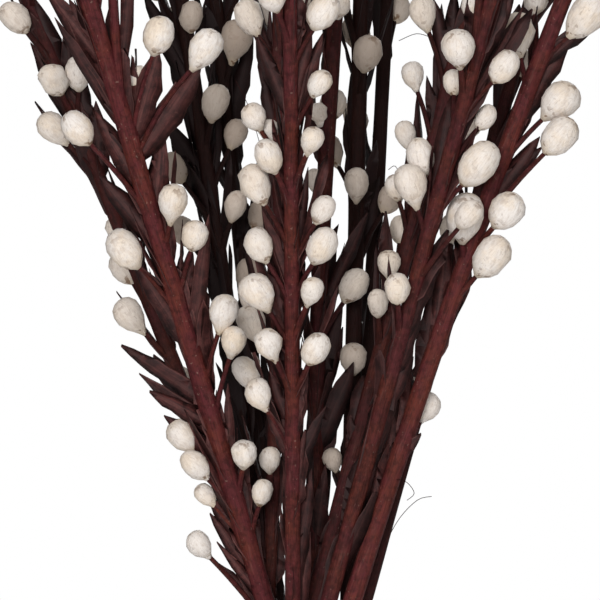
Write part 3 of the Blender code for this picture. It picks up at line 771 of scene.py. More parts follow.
def add_free_leaves(chance, firm, number, name, kind):
    height = kind.start
    azimuth = chance.uniform(0, math.tau)
    while height < min(kind.end, STICKS[name].top - BELOW_TIP):
        leaf = free_leaf(chance, firm, number, name, height, azimuth, kind)
        if leaf:
            layout.leaves[name].append(leaf)
        azimuth += GOLDEN_ANGLE + chance.uniform(-LEAF_AZIMUTH_SPREAD, LEAF_AZIMUTH_SPREAD)
        height += kind.spacing * MM / LEAFINESS[name] * chance.uniform(*LEAF_SPACING_SPREAD)


firm = firm_spheres()
for number, name in enumerate(STICKS):
    for kind in LEAF_KINDS:
        add_free_leaves(chance, firm, number, name, kind)
print("leaves with no pod", count(layout.leaves))

# %% [markdown]
# ## A growing mesh
#
# Bark, leaf and pod all have a grain that follows their length. A plain noise on object coordinates
# can't follow it, so each piece carries a UV map called grain: how far round or across, and how far
# along in metres. A second value, tone, is stored at the points, so that one material can make
# every leaf and pod a little different. Both are filled in while the mesh grows.

# %% A growing mesh
Growth = namedtuple("Growth", "shape grain tone")


def start_growth():
    shape = bmesh.new()
    return Growth(shape, shape.loops.layers.uv.new("grain"), shape.verts.layers.float.new("tone"))


def mark_faces(growth, marks, tone, finish):
    """Writes the grain map and the tone on the faces of the marked points. Marks hold (around, along)."""
    faces = {face for point in marks for face in point.link_faces}
    for point in marks:
        point[growth.tone] = tone
    for face in faces:
        face.smooth = True
        face.material_index = finish
        known = [marks[loop.vert][0] for loop in face.loops if marks[loop.vert][0] is not None]
        wraps = max(known) - min(known) > 0.5
        middle = sum(around + (wraps and around < 0.5) for around in known) / len(known)
        for loop in face.loops:
            around, along = marks[loop.vert]
            around = middle if around is None else around + (wraps and around < 0.5)
            loop[growth.grain].uv = (around, along)


sample = start_growth()
print("layers", sample.grain.name, "and", sample.tone.name)
sample.shape.free()

# %% [markdown]
# Stems, stalks and wisps are all tubes. A curve with a bevel would be quick, but its mesh can't be
# marked as it grows. So a circle is extruded ring by ring, and every new point remembers which spoke
# of the circle it came from. It is then put at its place on the ring, which may be round or flat.

# %% A tube
def add_tube(growth, rings, sides, tone, finish):
    """A capped tube through rings of (middle, across, over, along), by extruding a circle ring by ring."""
    shape = growth.shape
    circle = bmesh.ops.create_circle(shape, cap_ends=True, segments=sides, radius=1.0)["verts"]
    spokes = {point: (point.co.x, point.co.y) for point in circle}
    edges = list({edge for point in circle for edge in point.link_edges})
    marks = {}
    points = circle
    for number, (middle, across, over, along) in enumerate(rings):
        if number:
            grown = bmesh.ops.extrude_edge_only(shape, edges=edges)["geom"]
            points = [item for item in grown if isinstance(item, bmesh.types.BMVert)]
            edges = [item for item in grown if isinstance(item, bmesh.types.BMEdge)]
            for point in points:
                for edge in point.link_edges:
                    spoke = spokes.get(edge.other_vert(point))
                    if spoke and edge.other_vert(point) not in points:
                        spokes[point] = spoke
        for point in points:
            x, y = spokes[point]
            point.co = middle + across * x + over * y
            marks[point] = ((math.atan2(y, x) / math.tau) % 1.0, along)
    bmesh.ops.contextual_create(shape, geom=edges)
    faces = list({face for point in marks for face in point.link_faces})
    bmesh.ops.recalc_face_normals(shape, faces=faces)
    mark_faces(growth, marks, tone, finish)
    return marks


sample = start_growth()
flat_rings = [(Vector((0, 0, z)), Vector((1, 0, 0)), Vector((0, 1, 0)), z) for z in (0, 1)]
add_tube(sample, flat_rings, 6, 1.0, 0)
print("a six-sided tube of two rings has", len(sample.shape.faces), "faces")
sample.shape.free()

# %% [markdown]
# A leaf and a papery cup start as a sheet with no thickness, which is easier to bend. Solidify then
# gives it a wall, and each new point takes the mark of the one nearest to it. Last, the bmesh becomes
# an object at the origin, with its place in its mesh, as the frame's own solids have.

# %% Walls and pieces
def thicken(shape, sheet, marks, thickness):
    """Gives the sheet a wall, whose points take the marks of the sheet's nearest points."""
    faces = list({face for point in sheet for face in point.link_faces})
    before = set(shape.verts)
    bmesh.ops.solidify(shape, geom=faces, thickness=thickness)
    for point in set(shape.verts) - before:
        marks[point] = marks[min(sheet, key=lambda other: (other.co - point.co).length_squared)]


def make_piece(shape, name, materials):
    mesh = bpy.data.meshes.new(name)
    shape.to_mesh(mesh)
    shape.free()
    for material in materials:
        mesh.materials.append(material)
    made = bpy.data.objects.new(name, mesh)
    bpy.context.scene.collection.objects.link(made)
    return made


# %% [markdown]
# ## Stems
#
# A dried stem is never a clean cylinder: it swells where a sprig leaves it and dips between. A
# displace modifier would do, but it can't know where the sprigs are. So the circle is extruded up
# the stick in short steps, and each point is then pushed out where a root is near and by a noise
# that changes slowly along the stem and quickly round it, which gives the lengthwise ridges.

# %% Stems
STEM_SIDES = 14
RING_SPACING = 4.5 * MM
SWELLING = 0.4 * MM
SWELLING_HEIGHT = 3.5 * MM
SCAR_RISE = 5.5 * MM
MOST_SWELLING = 1.2
RIDGES_ROUND = 2.6
RIDGES_ALONG = 22
RIDGES_APART = 50
RIDGE_DEPTH = 0.16
LUMPS_ALONG = 70
LUMPS_APART = 30
LUMP_DEPTH = 0.12
BARK, LEAFY = 0, 1


def add_stem(growth, name, tone):
    stick = STICKS[name]
    rings = []
    for z in np.linspace(FOOT_Z, stick.top, round((stick.top - FOOT_Z) / RING_SPACING)):
        radius = stem_radius(stick, z)
        rings.append((centre(name, z), Vector((radius, 0, 0)), Vector((0, radius, 0)), z))
    marks = add_tube(growth, rings, STEM_SIDES, tone, BARK)
    roots = [(s.root.z + SCAR_RISE, s.pod_base - s.root) for s in layout.sprigs[name]]
    scars = [(z, Vector((way.x, way.y, 0)).normalized()) for z, way in roots]
    for point, (around, z) in marks.items():
        middle = centre(name, z)
        outward = compass(around * math.tau)
        swell = sum(max(0.0, outward.dot(way)) ** 3 * math.exp(-((z - scar_z) / SWELLING_HEIGHT) ** 2)
                    for scar_z, way in scars if abs(z - scar_z) < 3 * SWELLING_HEIGHT)
        along = Vector((0, 0, z * RIDGES_ALONG + middle.x * RIDGES_APART))
        ridge = noise.noise(outward * RIDGES_ROUND + along)
        lump = noise.noise(Vector((z * LUMPS_ALONG, middle.x * LUMPS_APART, middle.y * LUMPS_APART)))
        rough = (RIDGE_DEPTH * ridge + LUMP_DEPTH * lump) * MM
        point.co += outward * (min(swell, MOST_SWELLING) * SWELLING + rough)


print("stem rings every", round(RING_SPACING / MM, 1), "mm, with", STEM_SIDES, "sides")

# %% [markdown]
# ## Stalks, wisps and leaves
#
# The stalk is a flat strap that leaves the stem steeply and bows out to its pod. It could be a bent
# box, but a tube whose rings are wide and thin joins the round stem without a step.

# %% Stalks
STALK_SIDES = 6
STALK_RINGS = 7
STALK_BOW = 0.07
STALK_OVERLAP = 1.02
STALK_WIDTH, STALK_NARROWING = 1.9, 1.0
STALK_DEPTH, STALK_THINNING = 0.95, 0.2
LEAST_SIDEWAYS = 1e-6


def add_stalk(growth, sprig, tone, name):
    way = sprig.pod_base - sprig.root
    up = way_up(name, sprig.root, sprig.root.z)
    sideways = up.cross(way)
    sideways = sideways.normalized() if sideways.length > LEAST_SIDEWAYS else Vector((1, 0, 0))
    bow = (up - way.normalized() * up.dot(way.normalized())) * way.length * STALK_BOW
    rings = []
    for step in range(STALK_RINGS):
        t = step / (STALK_RINGS - 1)
        middle = sprig.root + way * t * STALK_OVERLAP + bow * math.sin(math.pi * t)
        widen = sprig.stalk_radius * (STALK_WIDTH - STALK_NARROWING * t)
        thick = sprig.stalk_radius * (STALK_DEPTH - STALK_THINNING * t)
        over = sideways.cross(way.normalized())
        rings.append((middle, sideways * widen, over * thick, t * way.length))
    add_tube(growth, rings, STALK_SIDES, tone, BARK)


print("stalk rings", STALK_RINGS)

# %% [markdown]
# Here and there a fibre has torn loose and hangs out of the bunch as a fine curl. It is drawn by a
# few given points, a smooth curve goes through them all, and a very thin tube follows that. A hair
# curve would be lighter, but the export drops hair.

# %% Wisps
WISP_RADIUS = 0.13 * MM
WISP_DEPTH = 3.5
WISP_DRIFT = 0.2
WISP_SIDES = 3
WISP_STEPS = 4
WISP_TONE = 0.3

# Each wisp is a row of (across, height) points in millimetres.
WISPS = {
    "right_stick": (
        ((19, 213), (22, 219), (26, 226), (31, 231), (35, 232)),
        ((25, 237), (28, 236), (30, 233), (28, 231))),
    "centre_left_stick": (((-21, 351), (-17, 343), (-14, 333)), ((-16, 231), (-14, 236), (-11, 243))),
    "right_back_stick": (((35, 363), (31, 364), (26, 362)), ((27, 322), (25, 326), (23, 325))),
}


def curve_value(a, b, c, d, t):
    """A value between b and c, on the smooth curve through all four."""
    squared = (2 * a - 5 * b + 4 * c - d) * t ** 2
    cubed = (3 * b - a - 3 * c + d) * t ** 3
    return 0.5 * (2 * b + (c - a) * t + squared + cubed)


def smooth_curve(points, steps):
    """The points with more between them, on a smooth curve through them all."""
    ends = [points[0], *points, points[-1]]
    rounded = []
    for four in zip(ends, ends[1:], ends[2:], ends[3:]):
        for step in range(steps):
            rounded.append(tuple(curve_value(*values, step / steps) for values in zip(*four)))
    return rounded + [points[-1]]


def add_wisp(growth, name, points, tone):
    """A torn fibre through the points, just in front of its stick."""
    line = [Vector((x, -WISP_DEPTH + WISP_DRIFT * i, z)) * MM
            for i, (x, z) in enumerate(smooth_curve(points, WISP_STEPS))]
    line = [place + Vector((0, centre(name, place.z).y, 0)) for place in line]
    rings = []
    for i, place in enumerate(line):
        way = (line[min(i + 1, len(line) - 1)] - line[max(i - 1, 0)]).normalized()
        over = way.cross(Vector((0, 1, 0))).normalized()
        rings.append((place, over.cross(way) * WISP_RADIUS, over * WISP_RADIUS, place.z))
    add_tube(growth, rings, WISP_SIDES, tone, BARK)


print("wisps", count(WISPS))

# %% [markdown]
# The leaf is a lance: a grid of two by eight faces is drawn out into the blade, folded along its
# keel, twisted and waved, and given a thickness. Solidify comes last, because a closed blade is
# harder to bend. No two blades match: where each is widest, how blunt it is and whether its tip
# broke off are drawn. A listed leaf keeps a whole, pointed tip.

# %% Leaves
LEAF_THICKNESS = 0.45 * MM
KEEL_FOLD = 0.16
WIDEST_AT = (0.22, 0.55)
BASE_WIDTH = (0.5, 0.9)
POINTED = (1.2, 1.7)
BLUNT = (1.2, 3.4)
BROKEN_SHARE = 0.15
BROKEN_END = (0.12, 0.42)
POINTED_END = 0.04
BREAK_SLANT = 0.05
RAGGEDNESS = 0.3
TEARS_ALONG, TEARS_ACROSS, TEARS_APART = 7, 3, 9
ROOT_NECK = 0.5
NECK_OPENING = 5
MAP_EDGE = 0.1
BLADE_TWIST = 0.5
WAVES = (6, 14)
RIPPLE = (0.1, 0.55)


def blade_width(t, widest, base, bluntness, end):
    """The share of the full width at a share of the length: a short neck, a belly and a tapered tip."""
    if t < widest:
        neck = min(1, ROOT_NECK + t * NECK_OPENING)
        return neck * (base + (1 - base) * math.sin(math.pi / 2 * t / widest))
    return max(math.cos(math.pi / 2 * ((t - widest) / (1 - widest)) ** bluntness), end)


def add_leaf(growth, leaf, tone, chance):
    shape = growth.shape
    way = leaf.tip - leaf.root
    along = way.normalized()
    out = along.cross(leaf.side).normalized()
    widest, base = chance.uniform(*WIDEST_AT), chance.uniform(*BASE_WIDTH)
    bluntness = chance.uniform(*(POINTED if leaf.whole else BLUNT))
    broken = chance.random() < BROKEN_SHARE and not leaf.whole
    end = chance.uniform(*BROKEN_END) if broken else POINTED_END
    slant = chance.uniform(-BREAK_SLANT, BREAK_SLANT)
    twist = chance.uniform(-BLADE_TWIST, BLADE_TWIST)
    wave, waves = chance.uniform(0, math.tau), chance.uniform(*WAVES)
    ripple = chance.uniform(*RIPPLE) * MM
    blade = bmesh.ops.create_grid(shape, x_segments=2, y_segments=8, size=1.0)["verts"]
    marks = {}
    for point in blade:
        x, t = point.co.x, (point.co.y + 1) / 2
        tear = noise.noise(Vector((t * TEARS_ALONG, x * TEARS_ACROSS, wave * TEARS_APART)))
        torn = 1 + RAGGEDNESS * tear
        half = leaf.width / 2 * blade_width(t, widest, base, bluntness, end) * torn
        if broken:
            t += slant * x * t ** 4
        turned = leaf.side * math.cos(twist * t) + out * math.sin(twist * t)
        fold = along.cross(turned) * ((0.5 - abs(x)) * KEEL_FOLD * half * 2)
        bend = out * (leaf.bow * way.length * 4 * t * (1 - t) + ripple * math.sin(waves * t + wave) * x)
        marks[point] = (MAP_EDGE + (1 - 2 * MAP_EDGE) * (x + 1) / 2, t * way.length)
        point.co = leaf.root + way * t + turned * (x * half) + fold + bend
    thicken(shape, blade, marks, LEAF_THICKNESS)
    mark_faces(growth, marks, tone, LEAFY)


print("leaf thickness", round(LEAF_THICKNESS / MM, 2), "mm")

# %% [markdown]
# ## Pods
#
# A pod is the shape of a garlic clove: round above, drawn in below to a neck that slips over its
# stalk, and never quite regular. Each starts as a sphere, finer in the photographed stretch and
# coarser above it. Its rings are moved onto an outline between a round pod and a pear-shaped one,
# then pressed a little flat and dented by a noise of its own.

# %% Pods
# Each outline goes from neck to crown, as (share of the length, share of the half width).
ROUND_POD = (
    (-0.07, 0.0), (-0.055, 0.18), (0.0, 0.34), (0.10, 0.65), (0.26, 0.90), (0.48, 1.0),
    (0.70, 0.94), (0.87, 0.71), (0.96, 0.40), (1.0, 0.0))
PEAR_POD = (
    (-0.14, 0.0), (-0.12, 0.15), (-0.02, 0.24), (0.12, 0.44), (0.31, 0.79), (0.52, 0.98),
    (0.73, 0.98), (0.89, 0.75), (0.97, 0.43), (1.0, 0.0))
FINE_LEVELS = tuple(range(10))
COARSE_LEVELS = (0, 1.3, 3, 4.6, 6.2, 7.7, 9)
FINE_AROUND = 16
COARSE_AROUND = 9
CRUMPLED_SHARE = 0.18
CRUMPLED = (0.10, 0.18)
DENTED = (0.03, 0.07)
DENT_SCALE = 1.8
DENTS_ALONG = 2.2
FLATNESS = (0.84, 1.0)
POD_LEAN = 0.08
PEAR_POWER = 1.5
NOISE_SPAN = 90
TONE_SPREAD = 0.35
SELDOM_PALE = 2.6


def pod_tone(stain_and_shade, chance):
    """Mostly near the stick's own stain and painted shade, and now and then much paler."""
    spread = (1 - stain_and_shade) * (TONE_SPREAD + (1 - TONE_SPREAD) * stain_and_shade)
    return stain_and_shade + spread * chance.random() ** (SELDOM_PALE - 2 * stain_and_shade)


def add_pod(growth, sprig, seen, stain_and_shade, chance):
    shape = growth.shape
    along = (sprig.pod_tip - sprig.pod_base).normalized()
    across = along.orthogonal().normalized()
    over = along.cross(across)
    length = (sprig.pod_tip - sprig.pod_base).length
    flat = chance.uniform(*FLATNESS)
    crumple = chance.uniform(*(CRUMPLED if chance.random() < CRUMPLED_SHARE else DENTED))
    seed = Vector((chance.uniform(0, NOISE_SPAN), chance.uniform(0, NOISE_SPAN), 0))
    turn = chance.uniform(0, math.tau)
    lean = chance.uniform(-POD_LEAN, POD_LEAN)
    pear = chance.uniform(0, 1) ** PEAR_POWER
    levels, around = (FINE_LEVELS, FINE_AROUND) if seen else (COARSE_LEVELS, COARSE_AROUND)
    outline = [[a + (b - a) * pear for a, b in zip(*pair)] for pair in zip(ROUND_POD, PEAR_POD)]
    shares, widths = zip(*outline)
    last = len(levels) - 1
    sphere = bmesh.ops.create_uvsphere(shape, u_segments=around, v_segments=last, radius=1.0)["verts"]
    marks = {}
    for point in sphere:
        ring = round((1 - math.acos(max(-1.0, min(1.0, point.co.z))) / math.pi) * last)
        t, wide = (float(np.interp(levels[ring], range(len(outline)), row)) for row in (shares, widths))
        angle = math.atan2(point.co.y, point.co.x) + turn
        x, y = math.cos(angle), math.sin(angle)
        dent = 1 + crumple * noise.noise(Vector((x, y, t * DENTS_ALONG)) * DENT_SCALE + seed) * 2
        half = sprig.pod_width / 2 * wide * dent
        marks[point] = (None if ring in (0, last) else (angle / math.tau) % 1.0, t)
        place = sprig.pod_base + along * (length * t)
        point.co = place + across * (x * half + lean * length * t * abs(t)) + over * (y * half * flat)
    mark_faces(growth, marks, pod_tone(stain_and_shade, chance), 0)
    return along, across, over


print("pod faces", FINE_AROUND * (len(FINE_LEVELS) - 1), "or", COARSE_AROUND * (len(COARSE_LEVELS) - 1))

# %% [markdown]
# Some pods keep a torn papery cup round their neck. It could be cut from a shell of the pod, but a
# short open cone with a ragged edge says the same with few faces.

# %% Cups
CUP_SHARE = 0.3
CUP_SIDES = 7
CUP_FOOT = 0.8 * MM
CUP_MOUTH = 1.9 * MM
CUP_HEIGHT = 2.2 * MM
CUP_RISE = 0.3 * MM
CUP_WALL = 0.25 * MM
CUP_TONE = 0.95
CUP_ALONG = 0.5
TORN_EDGE = (-0.5, 0.9)


def add_cup(growth, sprig, along, across, over, chance):
    shape = growth.shape
    cup = bmesh.ops.create_cone(
        shape, cap_ends=False, segments=CUP_SIDES, radius1=CUP_FOOT, radius2=CUP_MOUTH,
        depth=CUP_HEIGHT)["verts"]
    marks = {}
    for point in cup:
        torn = chance.uniform(*TORN_EDGE) * MM if point.co.z > 0 else 0
        marks[point] = ((math.atan2(point.co.y, point.co.x) / math.tau) % 1.0, CUP_ALONG)
        middle = sprig.pod_base + along * (point.co.z + torn + CUP_RISE)
        point.co = middle + across * point.co.x + over * point.co.y
    thicken(shape, cup, marks, CUP_WALL)
    mark_faces(growth, marks, CUP_TONE, 0)


print("cups on about", CUP_SHARE, "of the pods")

# %% [markdown]
# ## Shared finishes
#
# A finish is a tree of nodes. In the editor they are placed and joined by hand. Here a few short
# functions do it: one adds a node and feeds its inputs, and the others add the nodes that come up
# again and again, to work a sum, to stretch a range and to mix two colours.

# %% Node helpers
def add(tree, kind, inputs=None, **settings):
    """A node with its settings. An input is a value, or the socket that feeds it."""
    node = tree.nodes.new(kind)
    for key, value in settings.items():
        setattr(node, key, value)
    for key, value in (inputs or {}).items():
        if isinstance(value, bpy.types.NodeSocket):
            tree.links.new(value, node.inputs[key])
        else:
            node.inputs[key].default_value = value
    return node


def maths(tree, operation, first, second=0.0):
    return add(tree, "ShaderNodeMath", {0: first, 1: second}, operation=operation).outputs[0]


def times(tree, first, second):
    return maths(tree, "MULTIPLY", first, second)


def stretch(tree, value, low, high, to_low=0.0, to_high=1.0):
    """Stretches the range from low to high onto another one, and keeps within that."""
    return add(tree, "ShaderNodeMapRange", {
        "Value": value, "From Min": low, "From Max": high, "To Min": to_low, "To Max": to_high,
    }).outputs["Result"]


def noise_at(tree, place, **inputs):
    return add(tree, "ShaderNodeTexNoise", {"Vector": place, **inputs}).outputs


def blend_colours(tree, share, first, second):
    """Mixes two colours. A mix node set to colours reads sockets 0, 6 and 7, and gives socket 2."""
    node = add(tree, "ShaderNodeMix", data_type="RGBA")
    for socket, value in zip((node.inputs[0], node.inputs[6], node.inputs[7]), (share, first, second)):
        if isinstance(value, bpy.types.NodeSocket):
            tree.links.new(value, socket)
        else:
            socket.default_value = value if socket is node.inputs[0] else (*value, 1)
    return node.outputs[2]


def add_bump(tree, shader, height, strength, distance):
    bump = add(tree, "ShaderNodeBump", {"Height": height, "Strength": strength, "Distance": distance})
    tree.links.new(bump.outputs["Normal"], shader.inputs["Normal"])


trial = bpy.data.node_groups.new("trial", "ShaderNodeTree")
times(trial, stretch(trial, 0.5, 0.0, 1.0), 2.0)
print("a stretch and a product make", len(trial.nodes), "nodes")
bpy.data.node_groups.remove(trial)

# %% [markdown]
# The finishes need the same few effects, so each effect is a node group with named sockets. Grain
# wraps two noises round the piece, so they have no seam: streaks are drawn out along it, and patches
# are nearly as long as wide.

# %% Grain
TONE_SHIFT = 61.0


def start_group(name, inputs, outputs):
    """A new group. An input with a value is a number, and one with none is a vector."""
    tree = bpy.data.node_groups.new(name, "ShaderNodeTree")
    for label, value in inputs.items():
        kind = "NodeSocketVector" if value is None else "NodeSocketFloat"
        socket = tree.interface.new_socket(label, in_out="INPUT", socket_type=kind)
        if value is not None:
            socket.default_value = value
    for label in outputs:
        tree.interface.new_socket(label, in_out="OUTPUT", socket_type="NodeSocketFloat")
    return tree, tree.nodes.new("NodeGroupInput"), tree.nodes.new("NodeGroupOutput")


def make_grain_group():
    sizes = {"Map": None, "Tone": 0.5, "Around": 6.0, "Along": 70.0, "Patch": 500.0}
    tree, given, out = start_group("grain", sizes, ["Streaks", "Patches"])
    parts = add(tree, "ShaderNodeSeparateXYZ", {"Vector": given.outputs["Map"]})
    angle = times(tree, parts.outputs["X"], math.tau)
    x = times(tree, maths(tree, "COSINE", angle), given.outputs["Around"])
    y = times(tree, maths(tree, "SINE", angle), given.outputs["Around"])
    shift = times(tree, given.outputs["Tone"], TONE_SHIFT)
    patterns = (("Streaks", "Along", 1.0, 4.0), ("Patches", "Patch", 0.35, 3.0))
    for label, drawn_out, scale, detail in patterns:
        z = maths(tree, "ADD", times(tree, parts.outputs["Y"], given.outputs[drawn_out]), shift)
        place = add(tree, "ShaderNodeCombineXYZ", {"X": x, "Y": y, "Z": z}).outputs[0]
        pattern = noise_at(tree, place, Scale=scale, Detail=detail, Roughness=0.6)["Fac"]
        tree.links.new(pattern, out.inputs[label])
    return tree


GRAIN = make_grain_group()
print("grain", [socket.name for socket in GRAIN.interface.items_tree])

# %% [markdown]
# Two more effects are spots of one noise each. Specks is a mask of small sharp spots. Blotches is a
# share of the dye that took, soft and uneven from millimetre to millimetre.

# %% Specks and blotches
def make_specks_group():
    tree, given, out = start_group("specks", {"Place": None, "Size": 900.0, "Fewer": 0.66}, ["Mask"])
    place, size = given.outputs["Place"], given.outputs["Size"]
    spots = noise_at(tree, place, Scale=size, Detail=2.0, Roughness=0.55)
    above = maths(tree, "SUBTRACT", spots["Fac"], given.outputs["Fewer"])
    tree.links.new(stretch(tree, above, 0.0, 0.05), out.inputs["Mask"])
    return tree


def make_blotches_group():
    tree, given, out = start_group("blotches", {"Place": None, "Size": 400.0, "Weakest": 0.3}, ["Share"])
    place, size = given.outputs["Place"], given.outputs["Size"]
    cloud = noise_at(tree, place, Scale=size, Detail=5.0, Roughness=0.65)
    share = stretch(tree, cloud["Fac"], 0.38, 0.60, given.outputs["Weakest"], 1.25)
    tree.links.new(share, out.inputs["Share"])
    return tree


SPECKS = make_specks_group()
BLOTCHES = make_blotches_group()
print("effects", [group.name for group in (GRAIN, SPECKS, BLOTCHES)])

# %% [markdown]
# Every finish starts alike: a new material, its shader, and where on the piece a point is. The
# shader stays in the material, outside the groups, and each material gives a group its own values.

# %% Starting a finish
def use_group(tree, group, **inputs):
    return add(tree, "ShaderNodeGroup", inputs, node_tree=group).outputs


def start_material(name):
    """A new material, with its tree, its shader and the place of a point on the piece."""
    material = bpy.data.materials.new(name)
    material.use_nodes = True
    tree = material.node_tree
    place = add(tree, "ShaderNodeTexCoord").outputs["Object"]
    return material, tree, tree.nodes["Principled BSDF"], place


def read_growth(tree):
    """The grain map and the tone that a grown piece carries."""
    grain_map = add(tree, "ShaderNodeUVMap", uv_map="grain").outputs["UV"]
    return grain_map, add(tree, "ShaderNodeAttribute", attribute_name="tone").outputs["Fac"]


print("materials so far", len(bpy.data.materials))

# %% [markdown]
# ## Bark
#
# The dye is a warm red-brown where it took well and nearly black where it soaked in. So the tone of
# a stick mixes between the two, its lengthwise streaks mix again, and the warm dye itself drifts
# from red-brown to wine along the stem. The sticks at the back get so low a tone that they are nearly
# black: a darker dye, and also painted shade where the bunch shades them. A few pale specks show
# where the dye missed. A picture of bark would repeat and stretch on thirteen bent stems, and a
# procedural grain doesn't.

# %% Bark
BARK_DEEP = (0.009, 0.003, 0.002)
BARK_DARK = (0.058, 0.013, 0.011)
BARK_WARM = (0.140, 0.029, 0.019)
BARK_WINE = (0.108, 0.019, 0.024)
BARK_DUST_AND_SHEEN = (0.190, 0.080, 0.064)
BARK_SPECK = (0.36, 0.24, 0.19)


def make_bark():
    material, tree, shader, place = start_material("dyed bark")
    grain_map, tone = read_growth(tree)
    grain = use_group(tree, GRAIN, Map=grain_map, Tone=tone, Around=7.0, Along=120.0, Patch=420.0)
    streaks = stretch(tree, grain["Streaks"], 0.3, 0.7, 0.2, 1.0)
    hue = use_group(tree, BLOTCHES, Place=place, Size=75.0, Weakest=0.0)["Share"]
    warm = blend_colours(tree, streaks, BARK_DARK, blend_colours(tree, hue, BARK_WARM, BARK_WINE))
    blotch = use_group(tree, BLOTCHES, Place=place, Size=620.0, Weakest=0.55)["Share"]
    # A low tone mixes the bark towards nearly black: a darker dye, and painted shade on the sticks at the
    # back.
    dyed = blend_colours(tree, times(tree, tone, blotch), BARK_DEEP, warm)
    soaked = stretch(tree, grain["Patches"], 0.33, 0.5, 0.4, 0.0)
    soaked_dye = blend_colours(tree, soaked, dyed, BARK_DEEP)
    # Pale patches, strongest on the palest front sticks: partly dust, and partly a painted sheen.
    worn = times(tree, stretch(tree, grain["Patches"], 0.60, 0.76, 0.0, 0.4), tone)
    dust_and_sheen = blend_colours(tree, worn, soaked_dye, BARK_DUST_AND_SHEEN)
    specks = use_group(tree, SPECKS, Place=place, Size=950.0, Fewer=0.68)["Mask"]
    speckled = times(tree, specks, times(tree, tone, 0.3))
    tree.links.new(blend_colours(tree, speckled, dust_and_sheen, BARK_SPECK), shader.inputs["Base Color"])
    rough = stretch(tree, grain["Streaks"], 0.3, 0.7, 0.5, 0.68)
    tree.links.new(rough, shader.inputs["Roughness"])
    shader.inputs["Specular IOR Level"].default_value = 0.12
    height = maths(tree, "ADD", grain["Streaks"], times(tree, grain["Patches"], 0.6))
    add_bump(tree, shader, height, strength=0.8, distance=0.4 * MM)
    return material


bark = make_bark()
print(bark.name, len(bark.node_tree.nodes), "nodes")

# %% [markdown]
# ## Leaf
#
# The leaf took the same dye, but it is duller and more purple, with fine veins, a paler rib on its
# keel and a pale line along its edge. The map's first number runs across the blade, so the rib and
# the edge are found by how far a point is from the middle of it.

# %% Leaf
LEAF_DEEP = (0.010, 0.004, 0.004)
LEAF_DULL = (0.112, 0.033, 0.030)
LEAF_RIB = (0.17, 0.070, 0.060)


def make_leaf_finish():
    material, tree, shader, place = start_material("dyed leaf")
    grain_map, tone = read_growth(tree)
    grain = use_group(tree, GRAIN, Map=grain_map, Tone=tone, Around=8.0, Along=26.0, Patch=300.0)
    veins = stretch(tree, grain["Streaks"], 0.35, 0.65, 0.45, 1.0)
    patches = stretch(tree, grain["Patches"], 0.35, 0.65, 0.55, 1.15)
    pale = times(tree, times(tree, tone, veins), patches)
    blotch = use_group(tree, BLOTCHES, Place=place, Size=330.0, Weakest=0.35)["Share"]
    # The leaves of the low-toned sticks at the back come out nearly black: a darker dye, and painted
    # shade.
    blade = blend_colours(tree, times(tree, pale, blotch), LEAF_DEEP, LEAF_DULL)
    across = add(tree, "ShaderNodeSeparateXYZ", {"Vector": grain_map}).outputs["X"]
    off_rib = maths(tree, "ABSOLUTE", maths(tree, "SUBTRACT", across, 0.5))
    rib = stretch(tree, off_rib, 0.02, 0.08, 0.22, 0.0)
    ribbed = blend_colours(tree, times(tree, rib, tone), blade, LEAF_RIB)
    edge = times(tree, stretch(tree, off_rib, 0.36, 0.4, 0.0, 0.35), tone)
    edged = blend_colours(tree, edge, ribbed, LEAF_RIB)
    specks = use_group(tree, SPECKS, Place=place, Size=700.0, Fewer=0.66)["Mask"]
    worn = times(tree, times(tree, specks, tone), 0.3)
    tree.links.new(blend_colours(tree, worn, edged, LEAF_RIB), shader.inputs["Base Color"])
    shader.inputs["Roughness"].default_value = 0.58
    shader.inputs["Specular IOR Level"].default_value = 0.2
    add_bump(tree, shader, grain["Streaks"], strength=0.4, distance=0.3 * MM)
    return material


leafy = make_leaf_finish()
print(leafy.name, len(leafy.node_tree.nodes), "nodes")

# %% [markdown]
# ## Pod
#
# The bleached skin drifts from white to a warm cream, with fine veins that run from neck to crown
# and a wrinkled surface. Its neck is tan where it met the stalk, and a few brown marks sit near
# either end. The map's second number runs from 0 at the neck to 1 at the crown, which places them.
# The wrinkles are the edges of cells that a noise has pushed about, so none of them is straight. Their
# creases are darkened in the colour, as painted shade.

# %% Pod finish
POD_PALE = (0.83, 0.775, 0.73)
POD_WARM = (0.80, 0.675, 0.54)
POD_CREAM = (0.72, 0.63, 0.55)
POD_STAIN_AND_SHADE = (0.23, 0.15, 0.10)
POD_VEIN = (0.45, 0.35, 0.275)
POD_TAN = (0.50, 0.40, 0.28)
POD_MARK_AND_CREASE_SHADE = (0.20, 0.115, 0.065)


